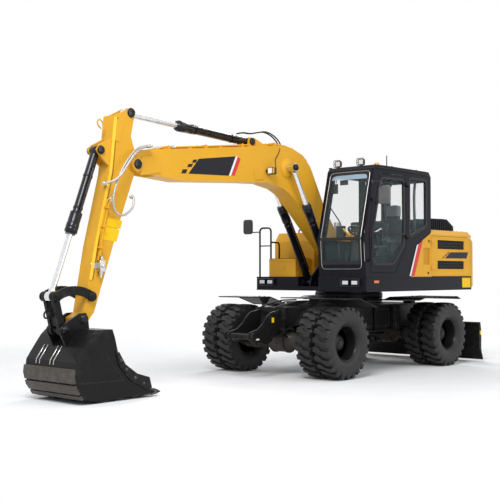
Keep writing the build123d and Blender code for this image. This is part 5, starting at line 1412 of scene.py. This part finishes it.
def roof_parts():
    """Ribs on the hood, exhaust, filler cap, grab bars, grip mats and the tank's edges."""
    mesh = bmesh.new()
    for k in range(12):
        x = -2.02 + k * 0.062
        top = 2.335 + (x + 2.086) * 0.53 if x < -1.862 else 2.455
        for low, high in ((0.9295, 0.942), (-0.712, -0.6995)):
            slab(mesh, rectangle(x, x + 0.03, 2.262, top), low, high)
    for k in range(8):
        y = -0.66 + k * 0.2
        slab(mesh, [(-1.305, 2.29), (-1.334, 2.44), (-1.322, 2.445), (-1.292, 2.29)], y, y + 0.1)
    box(mesh, (-2.06, -1.34), (-0.66, 0.89), (2.2575, 2.262))
    finish(mesh, "hood_ribs", "black", "hood_lid", 0.004)
    mesh = bmesh.new()
    turned(mesh, spot(-1.1, -0.86, 2.256), (0, 0, 1),
           [(0.0, 0.085), (0.012, 0.085), (0.016, 0.06), (0.19, 0.058), (0.2, 0.054), (0.185, 0.05),
            (0.05, 0.048), (0.049, 0.0)], 36)
    finish(mesh, "exhaust", "steel", "house")
    mesh = bmesh.new()
    turned(mesh, spot(-0.35, -0.85, 2.23), (0, 0, 1),
           [(0.0, 0.062), (0.01, 0.062), (0.014, 0.05), (0.036, 0.048), (0.042, 0.04), (0.042, 0.0)], 28)
    for y in (-0.62, -1.05):
        bar(mesh, [(-0.7, y, 2.23), (-0.7, y, 2.3), (-0.25, y, 2.3), (-0.25, y, 2.23)], 0.012, 0.05, 12)
    for x in (-0.88, -1.06):
        for y in (1.03, -1.03):
            bolt(mesh, spot(x, y, 2.256), (0, 0, 1), 0.011)
    for k in range(8):
        bolt(mesh, spot(-0.92 - k * 0.16, 1.12, 2.256), (0, 0, 1), 0.008)
    finish(mesh, "house_caps", "black", "house", 0.002, 1)
    mesh = bmesh.new()
    for k in range(11):
        box(mesh, (0.215 + k * 0.033, 0.232 + k * 0.033), (-0.975, -0.455), (1.7795, 1.789))
    box(mesh, (0.2, 0.58), (-0.985, -0.445), (1.7795, 1.784))
    for k in range(13):
        box(mesh, (-0.72 + k * 0.05, -0.695 + k * 0.05), (-1.02, -0.65), (2.2295, 2.238))
    finish(mesh, "grip_mats", "grip", "house", 0.002, 1)
    mesh = bmesh.new()
    boxes(mesh, (0.19, 0.606, -1.006, -0.424, 1.742, 1.752),
          (0.598, 0.606, -0.76, -0.66, 1.6, 1.66))
    band(mesh, soft([(-0.8, 1.53), (0.04, 1.53), (0.04, 2.05), (-0.03, 2.16), (-0.8, 2.16)], 0.04), 0.02,
         -HOUSE_Y - 0.004, -HOUSE_Y)
    finish(mesh, "tank_edges", "yellow", "house", 0.003)


def counterweight_parts():
    """Rear lamps and lifting eyes of the counterweight."""
    mesh = bmesh.new()
    for y in (-0.62, 0.62):
        bar(mesh, [(-2.27, y - 0.05, 2.15), (-2.27, y - 0.05, 2.2), (-2.27, y + 0.05, 2.2),
                   (-2.27, y + 0.05, 2.15)], 0.014, 0.04, 12)
    finish(mesh, "lifting_eyes", "yellow", "house", 0.001, 1)
    mesh = bmesh.new()
    for y in (-0.95, 0.95):
        back = SWING - sqrt(TAIL_RADIUS ** 2 - (abs(y) + 0.075) ** 2)
        box(mesh, (back + 0.002, back + 0.05), (y - 0.075, y + 0.075), (1.42, 1.5))
    finish(mesh, "rear_lamps", "red", "house", 0.006, 3)


class EXCAVATOR_OT_house(bpy.types.Operator):
    """Grilles, stripes, louvres, skirts and roof parts of the house"""

    bl_idname = "excavator.house"
    bl_label = "House fittings"

    def execute(self, context):
        engine_door("engine_door_left", 1)
        engine_door("engine_door_right", -1)
        side_panel()
        skirts()
        roof_parts()
        counterweight_parts()
        return {"FINISHED"}


# Running gear

WEB_Y = 0.475
FLANGE_Y = 0.52


def bolt_row(mesh, start, end, count, direction, size):
    """Bolts in a row between two places measured from the middle of the wheelbase."""
    start, end = spot(*start), spot(*end)
    for k in range(count):
        bolt(mesh, start.lerp(end, k / max(1, count - 1)), direction, size)


def chassis_parts():
    """Covers, holes, bolts and pipes of the chassis."""
    mesh = bmesh.new()
    for out in (1, -1):
        for x_low, x_high in ((-0.765, -0.315), (-0.268, 0.485)):
            outline = soft(rectangle(x_low, x_high, 0.655, 0.965), 0.05)
            band(mesh, outline, 0.035, *layer(out, WEB_Y, WEB_Y + 0.01))
        slab(mesh, rectangle(-1.02, -0.8, 0.612, 1.004), *layer(out, FLANGE_Y - 0.006, FLANGE_Y + 0.008))
        for x0, z0, x1, z1, y, count, size in (
            (-0.98, 0.975, -0.98, 0.64, FLANGE_Y + 0.008, 5, 0.012),
            (-0.84, 0.66, -0.84, 0.74, FLANGE_Y + 0.008, 2, 0.012),
            (-0.7, 0.67, -0.34, 0.67, WEB_Y + 0.01, 4, 0.01),
            (-0.2, 0.67, 0.42, 0.67, WEB_Y + 0.01, 5, 0.01),
        ):
            bolt_row(mesh, (x0, out * y, z0), (x1, out * y, z1), count, (0, out, 0), size)
    bolt_ring(mesh, spot(SWING, 0.0, 1.15), (0, 0, -1), 0.547, 36, 0.011)
    turned(mesh, spot(SWING, 0.0, 1.045), (0, 0, 1),
           [(0.0, 0.578), (0.016, 0.578), (0.02, 0.552), (0.092, 0.552), (0.095, 0.556), (0.102, 0.556)],
           72)
    finish(mesh, "chassis_covers", "frame", "chassis", 0.003, 1)
    # Painted shade: near-black cups line the holes in the chassis sides to darken them.
    mesh = bmesh.new()
    for out in (1, -1):
        for z in (0.93, 0.86, 0.79):
            turned(mesh, spot(-0.825, out * 0.5285, z), (0, out, 0),
                   [(0.0, 0.026), (0.003, 0.026), (0.003, 0.017), (-0.02, 0.016), (-0.02, 0.0)], 20)
    finish(mesh, "chassis_hole_shade", "grille", "chassis")
    mesh = bmesh.new()
    for k, y in enumerate((0.1, 0.16, -0.13)):
        z = 1.1 + 0.012 * k
        bar(mesh, [(0.95, y, z), (1.3, y, z), (1.62, y * 1.3, 1.06), (1.74, y * 1.3, 1.03)], 0.012, 0.06,
            10)
    for side in (1, -1):
        bar(mesh, [(0.7, side * 0.2, 1.095), (1.15, side * 0.24, 1.09), (1.3, side * 0.3, 0.95),
                   (1.36, side * 0.38, 0.72), (1.4, side * 0.44, 0.66)], 0.011, 0.06, 10)
    finish(mesh, "chassis_hoses", "hose", "chassis", 0.0, 1)
    mesh = bmesh.new()
    for side in (1, -1):
        bar(mesh, [(-1.3, side * 0.3, 0.72), (-1.36, side * 0.42, 0.66), (-1.4, side * 0.6, 0.62)], 0.011,
            0.05, 10)
    finish(mesh, "axle_hoses", "hose", "chassis", 0.0, 1)


def axle_parts():
    """Ribs, bolts and covers of the axles and knuckles."""
    mesh = bmesh.new()
    for x in (WHEELBASE / 2, -WHEELBASE / 2):
        for side in (1, -1):
            middle = spot(x, side * 0.118, TYRE_RADIUS)
            turned(mesh, middle, (0, side, 0), [(0.0, 0.183), (0.0, 0.197), (0.02, 0.197), (0.022, 0.18)],
                   48)
            bolt_ring(mesh, middle + Vector((0, side * 0.02, 0)), (0, side, 0), 0.189, 16, 0.0085)
            turned(mesh, spot(x, side * 0.31, TYRE_RADIUS), (0, side, 0),
                   [(0.0, 0.092), (0.0, 0.118), (0.022, 0.118), (0.024, 0.091)], 40)
            bolt_ring(mesh, spot(x, side * 0.332, TYRE_RADIUS), (0, side, 0), 0.106, 12, 0.008)
        face = 1 if x > 0 else -1
        turned(mesh, spot(x + face * 0.15, 0, TYRE_RADIUS), (face, 0, 0),
               [(0.0, 0.15), (0.03, 0.15), (0.05, 0.115), (0.062, 0.07), (0.066, 0.0)], 40)
        bolt_ring(mesh, spot(x + face * 0.18, 0.0, TYRE_RADIUS), (face, 0, 0), 0.137, 12, 0.009)
        turned(mesh, spot(x + face * 0.212, 0.05, TYRE_RADIUS - 0.05), (face, 0, 0),
               [(0.0, 0.02), (0.012, 0.018)], 6)
    finish(mesh, "axle_covers", "cast", "chassis", 0.003, 1)
    for name, side in SIDES:
        mesh = bmesh.new()
        x, y = WHEELBASE / 2, side * 0.56
        for z, up in ((TYRE_RADIUS + 0.13, 1), (TYRE_RADIUS - 0.13, -1)):
            turned(mesh, spot(x, y, z), (0, 0, up),
                   [(0.0, 0.05), (0.01, 0.05), (0.014, 0.04), (0.018, 0.0)], 28)
            bolt_ring(mesh, spot(x, y, z + up * 0.01), (0, 0, up), 0.038, 4, 0.006, 0.4)
        turned(mesh, spot(x, side * 0.7, TYRE_RADIUS), (0, side, 0),
               [(0.0, 0.084), (0.0, 0.14), (0.018, 0.14), (0.022, 0.128), (0.15, 0.124)], 48)
        bolt_ring(mesh, spot(x, side * 0.7, TYRE_RADIUS), (0, -side, 0), 0.131, 14, 0.008)
        finish(mesh, "knuckle_covers_" + name, "cast", "knuckle_" + name, 0.002, 1)


def fender_parts():
    """Rolled edges and bolts of the fenders."""
    mesh = bmesh.new()
    tops = (((1.56, 1.172), (1.145, 1.172), (0.901, 1.096), (0.714, 1.038), 0.5),
            ((0.02, 1.125), (-0.496, 1.118), (-0.638, 1.151), (-1.66, 1.156), (-1.76, 1.12), 0.56))
    for *top, inner in tops:
        for out in (1, -1):
            for y in (1.2395, inner + 0.006):
                bar(mesh, [(x, out * y, z - 0.006) for x, z in top], 0.0085, 0.03, 8)
            for x, z in (top[0], top[-1]):
                rod(mesh, spot(x, out * (inner + 0.006), z - 0.006), spot(x, out * 1.2395, z - 0.006),
                    0.0085, 8)
    for out in (1, -1):
        for x, y in ((1.22, 0.56), (1.35, 0.56), (1.22, 0.66), (1.35, 0.66)):
            bolt(mesh, spot(x, out * y, 1.172), (0, 0, 1), 0.009)
        for x in (-1.48, -1.24):
            for y in (0.62, 0.72):
                bolt(mesh, spot(x, out * y, 1.154), (0, 0, 1), 0.009)
    finish(mesh, "fender_edges", "frame", "chassis", 0.0, 1)


def bracket_parts():
    """Cross tube ends, bolts, hook and blank reflectors of the front bracket."""
    mesh = bmesh.new()
    for out in (1, -1):
        turned(mesh, spot(2.395, out * 0.26, 0.625), (0, out, 0),
               [(0.0, 0.042), (0.0, 0.058), (0.016, 0.058), (0.02, 0.048), (0.022, 0.0)], 36)
        for k in range(4):
            bolt(mesh, spot(1.75, out * (0.245 - 0.11 * (k % 2)), 0.7 + 0.22 * (k // 2)), (1, 0, 0), 0.016)
        band(mesh, soft([(1.77, 0.66), (1.87, 0.66), (1.97, 0.55), (2.04, 0.525), (2.37, 0.585),
                         (2.42, 0.62), (2.4, 0.67), (2.24, 0.7), (2.115, 0.78), (2.02, 0.88), (1.94, 0.935),
                         (1.77, 0.97)], 0.05), 0.022, *layer(out, 0.216, 0.226))
    box(mesh, (1.745, 1.765), (-0.16, 0.16), (0.74, 0.9))
    bar(mesh, [(2.44, -0.05, 0.6), (2.5, -0.05, 0.58), (2.5, 0.05, 0.58), (2.44, 0.05, 0.6)], 0.014, 0.03,
        12)
    finish(mesh, "bracket_parts", "frame", "chassis", 0.003)
    mesh = bmesh.new()
    for out in (1, -1):
        box(mesh, (1.902, 1.942), layer(out, 0.216, 0.231), (0.812, 0.886))
    finish(mesh, "bracket_reflectors", "plate", "chassis", 0.002)
    mesh = bmesh.new()
    box(mesh, (2.232, 2.318), (0.216, 0.231), (0.57, 0.592))
    finish(mesh, "bracket_mark", "white", "chassis", 0.001)


def blade_parts():
    """Cutting edge, ribs, bolts and reflectors of the blade."""
    mesh = bmesh.new()
    slab(mesh, [(-2.545, 0.034), (-2.51, 0.13), (-2.522, 0.134), (-2.552, 0.05)], -1.24, 1.24)
    for k in range(10):
        y = -1.13 + k * 0.251
        bolt(mesh, spot(-2.52, y, 0.095), (-1, 0, 0.35), 0.014)
        bolt(mesh, spot(-2.42, y, 0.255), (1, 0, 0), 0.01)
    finish(mesh, "blade_edge", "worn", "blade", 0.002, 1)
    mesh = bmesh.new()
    for y in (-0.95, -0.62, 0.62, 0.95):
        slab(mesh, [(-2.412, 0.25), (-2.385, 0.28), (-2.385, 0.62), (-2.412, 0.66)], y - 0.012, y + 0.012)
    slab(mesh, [(-2.412, 0.66), (-2.385, 0.664), (-2.385, 0.686), (-2.412, 0.69)], -1.24, 1.24)
    for out in (1, -1):
        turned(mesh, spot(-2.02, out * 0.388, 0.64), (0, out, 0),
               [(0.0, 0.03), (0.0, 0.044), (0.01, 0.044), (0.014, 0.03), (0.016, 0.0)], 28)
    finish(mesh, "blade_ribs", "frame", "blade", 0.003)
    mesh = bmesh.new()
    for out in (1, -1):
        box(mesh, (-2.47, -2.425), layer(out, 1.245, 1.2505), (0.47, 0.54))
    finish(mesh, "blade_reflectors", "plate", "blade", 0.002)


class EXCAVATOR_OT_running_gear(bpy.types.Operator):
    """Covers, bolts and hoses of the chassis, axles, fenders, bracket and blade"""

    bl_idname = "excavator.running_gear"
    bl_label = "Running gear fittings"

    def execute(self, context):
        chassis_parts()
        axle_parts()
        fender_parts()
        bracket_parts()
        blade_parts()
        return {"FINISHED"}


# Bucket

BUCKET_PLATES = ([(5.724, 0.425), (5.735, 0.34), (5.716, 0.262)],
                 [(5.71, 0.242), (5.7, 0.205), (5.652, 0.138)], [(5.64, 0.12), (5.606, 0.072)])
BUCKET_RIBS = [(5.59, 0.669), (5.65, 0.585), (5.708, 0.505), (5.716, 0.45)]


def wear_band(mesh, points, y_low, y_high, thickness):
    """A strip bent round the bucket's back; a negative thickness lies outside it."""
    inner = offset_run(points, 0.004)
    outer = offset_run(points, thickness)
    loops = []
    for (xi, zi), (xo, zo) in zip(inner, outer):
        loops.append([mesh.verts.new(spot(xi, y_low, zi)), mesh.verts.new(spot(xi, y_high, zi)),
                      mesh.verts.new(spot(xo, y_high, zo)), mesh.verts.new(spot(xo, y_low, zo))])
    bridge(mesh, loops)


def bucket_parts():
    """Wear bands, side creases, weld beads in bright zinc as a painted highlight, bosses, teeth, cutter
    bolts and pins.
    """
    mesh = bmesh.new()
    for run in BUCKET_PLATES:
        wear_band(mesh, run, -0.498, 0.498, -0.027)
    for out in (1, -1):
        crease = [(5.281, 0.55), (5.02, 0.252), (5.705, 0.262), (5.705, 0.25), (5.005, 0.24), (5.27, 0.556)]
        band(mesh, crease, 0.002, *layer(out, 0.5, 0.505))
    for z, x in ((0.028, 5.3), (0.034, 5.05), (0.04, 4.8)):
        slab(mesh, [(x - 0.05, z + 0.002), (x + 0.05, z), (x + 0.05, z - 0.01), (x - 0.05, z - 0.008)],
             -0.495, 0.495)
    finish(mesh, "bucket_wear_bands", "scoured", "bucket", 0.003, 1)
    mesh = bmesh.new()
    for out in (1, -1):
        for (x, z), radius in ((BUCKET_PIN, 0.07), (LINK_PIN, 0.064)):
            turned(mesh, spot(x, out * 0.142, z), (0, out, 0),
                   [(0.0, radius), (0.008, radius), (0.01, radius - 0.008)], 36)
    finish(mesh, "bucket_bosses", "bucket", "bucket", 0.003, 1)
    # Painted highlight: the weld beads below the ears are bright zinc, standing in for light on their
    # rounded tops.
    mesh = bmesh.new()
    for y in (-0.285, -0.215, -0.005, 0.065):
        wear_band(mesh, BUCKET_RIBS, y - 0.006, y + 0.006, -0.01)
    finish(mesh, "bucket_weld_bead_highlights", "zinc", "bucket", 0.002, 1)
    mesh = bmesh.new()
    for i in range(5):
        y = (i - 2) * 0.225
        slab(mesh, [(4.66, 0.03), (4.66, 0.098), (4.6, 0.108), (4.53, 0.104), (4.5, 0.092), (4.5, 0.036),
                    (4.53, 0.026)], y - 0.045, y + 0.045)
        points = [(4.545, 0.02, 0.04), (4.545, 0.108, 0.04), (4.5, 0.104, 0.039), (4.43, 0.078, 0.034),
                  (4.392, 0.06, 0.026), (4.39, 0.05, 0.026), (4.45, 0.03, 0.034)]
        loops = [[mesh.verts.new(spot(x, y + sign * half, z)) for x, z, half in points] for sign in (1, -1)]
        bridge(mesh, loops)
        for sign in (1, -1):
            turned(mesh, spot(4.52, y + sign * 0.04, 0.068), (0, sign, 0),
                   [(0.0, 0.014), (0.008, 0.013), (0.009, 0.0)], 16)
    for out in (1, -1):
        for x, z in ((4.7, 0.185), (4.84, 0.262), (4.98, 0.375), (5.06, 0.49)):
            bolt(mesh, spot(x, out * 0.514, z), (0, out, 0), 0.017)
    finish(mesh, "bucket_teeth", "worn", "bucket", 0.003, 1)
    mesh = bmesh.new()
    caps(mesh, (BUCKET_PIN, 0.154, 0.048, 0.016), (LINK_PIN, 0.154, 0.044, 0.016))
    finish(mesh, "bucket_pins", "barrel", "bucket", 0.0015, 1)


def link_parts():
    """Bosses and pin heads of the guide links and the shackle of the bucket link."""
    mesh = bmesh.new()
    for out in (1, -1):
        side = out * 0.14
        for x, z in (GUIDE_PIN, ROD_PIN):
            turned(mesh, spot(x, side, z), (0, out, 0), [(0.0, 0.058), (0.01, 0.058), (0.014, 0.05)], 36)
            reach = 0.154 if (x, z) == ROD_PIN else 0.15
            cap(mesh, x, z, out * reach, out, 0.036, 0.014)
    finish(mesh, "guide_link_bosses", "frame", "guide_links", 0.002, 1)
    mesh = bmesh.new()
    middle = Vector(LINK_PIN).lerp(Vector(ROD_PIN), 0.5)
    box(mesh, (middle.x + 0.03, middle.x + 0.075), (-0.022, 0.022), (middle.y - 0.05, middle.y + 0.05))
    bar(mesh, [(middle.x + 0.06, 0.0, middle.y + 0.03), (middle.x + 0.12, 0.0, middle.y + 0.035),
               (middle.x + 0.15, 0.0, middle.y - 0.01), (middle.x + 0.13, 0.0, middle.y - 0.06),
               (middle.x + 0.06, 0.0, middle.y - 0.03)], 0.011, 0.04, 12)
    for out in (1, -1):
        turned(mesh, spot(LINK_PIN[0], out * 0.104, LINK_PIN[1]), (0, out, 0),
               [(0.0, 0.06), (0.003, 0.056)], 32)
    finish(mesh, "bucket_link_shackle", "frame", "bucket_link", 0.002, 1)


class EXCAVATOR_OT_bucket(bpy.types.Operator):
    """Teeth, wear bands and pins of the bucket and its links"""

    bl_idname = "excavator.bucket"
    bl_label = "Bucket fittings"

    def execute(self, context):
        bucket_parts()
        link_parts()
        return {"FINISHED"}


# Hoses that hang free between the boom and the arm: the routes of the source, in metres

HOSE_RADIUS = 0.015
HOSES = {
    "arm_hose_long": (1.624, [
        (4.37, 0.186, 3.18), (4.49, 0.192, 3.165), (4.63, 0.2, 3.06), (4.79, 0.206, 2.86),
        (4.905, 0.208, 2.63), (4.95, 0.206, 2.42), (4.89, 0.204, 2.28), (4.76, 0.2, 2.26),
        (4.64, 0.196, 2.34), (4.575, 0.186, 2.43), (4.56, 0.152, 2.51)]),
    "arm_hose_short": (0.872, [
        (4.37, 0.23, 3.18), (4.5, 0.24, 3.15), (4.64, 0.248, 3.04), (4.76, 0.252, 2.88),
        (4.86, 0.248, 2.75), (4.95, 0.216, 2.68), (5.0, 0.152, 2.66)]),
}


def spline_places(points):
    """Points along the smooth line that a route's NURBS spline draws."""
    curve = route_curve("route", points, 8)
    guide = bpy.data.objects.new("route", curve)
    run = bpy.data.meshes.new_from_object(guide)
    places = [vertex.co.copy() for vertex in run.vertices]
    bpy.data.objects.remove(guide)
    bpy.data.curves.remove(curve)
    bpy.data.meshes.remove(run)
    return places


class EXCAVATOR_OT_hoses(bpy.types.Operator):
    """The guarded hoses from the boom's tip to the arm, with their fittings"""

    bl_idname = "excavator.hoses"
    bl_label = "Free hoses"

    def execute(self, context):
        for name, (length, points) in HOSES.items():
            places = spline_places(points)
            mesh = bmesh.new()
            swept(mesh, places, HOSE_RADIUS, 20)
            piece = finish(mesh, name + "_guarded", "braid", None)
            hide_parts(name)
            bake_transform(piece)
        mesh = bmesh.new()
        for y in (0.186, 0.23):
            turned(mesh, spot(4.4, y, 3.174), (-1, 0, 0.125),
                   [(0.0, 0.02), (0.055, 0.02), (0.057, 0.016), (0.085, 0.016), (0.087, 0.0)], 16)
            bolt(mesh, spot(4.352, y, 3.18), (-1, 0, 0.125), 0.021)
        finish(mesh, "hose_ends_boom", "zinc", "boom", 0.001, 1)
        mesh = bmesh.new()
        for x, y, z, lean in ((4.56, 0.126, 2.52, -0.3), (5.0, 0.126, 2.66, 0.2)):
            turned(mesh, spot(x, 0.1, z), (0, 1, 0),
                   [(0.0, 0.03), (0.016, 0.03), (0.018, 0.024), (0.03, 0.024)], 20)
            bolt(mesh, spot(x, y, z - 0.002), (0, 1, lean), 0.018)
            rod(mesh, spot(x, y - 0.002, z - 0.004), spot(x, 0.158, z - 0.012), 0.0145, 14)
        finish(mesh, "hose_ends_arm", "zinc", "arm", 0.001, 1)
        return {"FINISHED"}


class EXCAVATOR_OT_stage(bpy.types.Operator):
    """Camera at the photograph's place, pale floor and soft lamps"""

    bl_idname = "excavator.stage"
    bl_label = "Studio"

    def execute(self, context):
        scene = context.scene
        studio = scene.excavator_studio
        scene.view_settings.view_transform = "Standard"
        lens = bpy.data.cameras.new("Camera")
        lens.lens = studio.lens
        lens.sensor_width = 36.0
        lens.clip_end = 200.0
        camera = add_object("Camera", lens)
        camera.location = spot(12.373, 9.251, 1.535)
        looking = Vector((cos(studio.yaw) * cos(studio.pitch), sin(studio.yaw) * cos(studio.pitch),
                          sin(studio.pitch)))
        camera.rotation_euler = looking.to_track_quat("-Z", "Y").to_euler()
        scene.camera = camera
        mesh = bmesh.new()
        size = 60.0
        mesh.faces.new([mesh.verts.new((x * size, y * size, 0.0))
                        for x, y in ((-1, -1), (1, -1), (1, 1), (-1, 1))])
        data = bpy.data.meshes.new("Floor")
        mesh.to_mesh(data)
        mesh.free()
        floor = add_object("Floor", data)
        made, tree, shader, position = material("Studio floor")
        grain = ramp(tree, noise(tree, position, 2.0), 0.3, 0.7, (0.86, 0.86, 0.86, 1), (0.9, 0.9, 0.9, 1))
        tree.links.new(grain, shader.inputs["Base Color"])
        dial(shader, {"Roughness": 1.0, "Specular IOR Level": 0.0})
        self.fade(tree, shader, position)
        data.materials.append(made)
        self.world(scene)
        for name, place, aim, power, width in (
            ("Key", (9.0, 5.0, 11.0), (0.5, 0.0, 1.5), studio.key, 5.0),
            ("Fill", (-2.0, 13.0, 6.0), (-1.0, 0.0, 1.5), 420.0, 7.0),
            ("Rim", (-9.0, -6.0, 8.0), (0.0, 0.0, 2.0), 600.0, 5.0),
        ):
            lamp = bpy.data.lights.new(name, "AREA")
            lamp.energy = power
            lamp.size = width
            stand = add_object(name, lamp)
            stand.location = place
            stand.rotation_euler = (Vector(aim) - Vector(place)).to_track_quat("-Z", "Y").to_euler()
        return {"FINISHED"}

    def fade(self, tree, shader, position):
        """Lets the floor end softly in the white around it, so that no horizon shows."""
        reach = node(tree, "ShaderNodeVectorMath", operation="LENGTH")
        tree.links.new(position, reach.inputs[0])
        clear = tree.nodes.new("ShaderNodeBsdfTransparent")
        edge = tree.nodes.new("ShaderNodeMixShader")
        tree.links.new(ramp(tree, times(tree, reach.outputs["Value"], 0.1), 0.5, 0.85), edge.inputs["Fac"])
        tree.links.new(shader.outputs["BSDF"], edge.inputs[1])
        tree.links.new(clear.outputs["BSDF"], edge.inputs[2])
        tree.links.new(edge.outputs["Shader"], tree.nodes["Material Output"].inputs["Surface"])

    def world(self, scene):
        """A pale even sky; the camera, glass and metal see it white."""
        sky = bpy.data.worlds.new("Studio sky")
        sky.use_nodes = True
        scene.world = sky
        tree = sky.node_tree
        dim = tree.nodes["Background"]
        dial(dim, {"Color": (0.92, 0.95, 1.0, 1.0), "Strength": 0.62})
        white = node(tree, "ShaderNodeBackground", Color=(1.0, 1.0, 1.0, 1.0), Strength=1.0)
        path = tree.nodes.new("ShaderNodeLightPath")
        seen = path.outputs["Is Camera Ray"]
        for ray in ("Is Glossy Ray", "Is Transmission Ray"):
            either = node(tree, "ShaderNodeMath", operation="MAXIMUM")
            tree.links.new(seen, either.inputs[0])
            tree.links.new(path.outputs[ray], either.inputs[1])
            seen = either.outputs[0]
        choose = tree.nodes.new("ShaderNodeMixShader")
        tree.links.new(seen, choose.inputs["Fac"])
        tree.links.new(dim.outputs["Background"], choose.inputs[1])
        tree.links.new(white.outputs["Background"], choose.inputs[2])
        tree.links.new(choose.outputs["Shader"], tree.nodes["World Output"].inputs["Surface"])


class EXCAVATOR_PT_panel(bpy.types.Panel):
    """Lists the excavator's pieces and settings"""

    bl_idname = "EXCAVATOR_PT_panel"
    bl_label = "Wheeled Excavator"
    bl_space_type = "VIEW_3D"
    bl_region_type = "UI"
    bl_category = "Excavator"

    def draw(self, context):
        for group in ("excavator_paint", "excavator_lines", "excavator_tread", "excavator_studio"):
            settings = getattr(context.scene, group)
            rows = self.layout.box()
            for name in settings.__annotations__:
                rows.prop(settings, name)
        for operator in OPERATORS:
            self.layout.operator(operator.bl_idname)


SETTINGS = {
    "excavator_paint": PaintColours,
    "excavator_lines": LineSizes,
    "excavator_tread": TreadSizes,
    "excavator_studio": StudioSettings,
}
OPERATORS = (
    EXCAVATOR_OT_frame_finish,
    EXCAVATOR_OT_wheels,
    EXCAVATOR_OT_boom,
    EXCAVATOR_OT_arm,
    EXCAVATOR_OT_rams,
    EXCAVATOR_OT_cab,
    EXCAVATOR_OT_house,
    EXCAVATOR_OT_running_gear,
    EXCAVATOR_OT_bucket,
    EXCAVATOR_OT_hoses,
    EXCAVATOR_OT_stage,
)


def register():
    for group in SETTINGS.values():
        bpy.utils.register_class(group)
    for name, group in SETTINGS.items():
        setattr(bpy.types.Scene, name, bpy.props.PointerProperty(type=group))
    for operator in OPERATORS:
        bpy.utils.register_class(operator)
    bpy.utils.register_class(EXCAVATOR_PT_panel)


def unregister():
    bpy.utils.unregister_class(EXCAVATOR_PT_panel)
    for operator in reversed(OPERATORS):
        bpy.utils.unregister_class(operator)
    for name in SETTINGS:
        delattr(bpy.types.Scene, name)
    for group in reversed(list(SETTINGS.values())):
        bpy.utils.unregister_class(group)


def main():
    """Builds everything."""
    register()
    for operator in OPERATORS:
        space, action = operator.bl_idname.split(".")
        getattr(getattr(bpy.ops, space), action)()


if __name__ == "__main__":
    main()
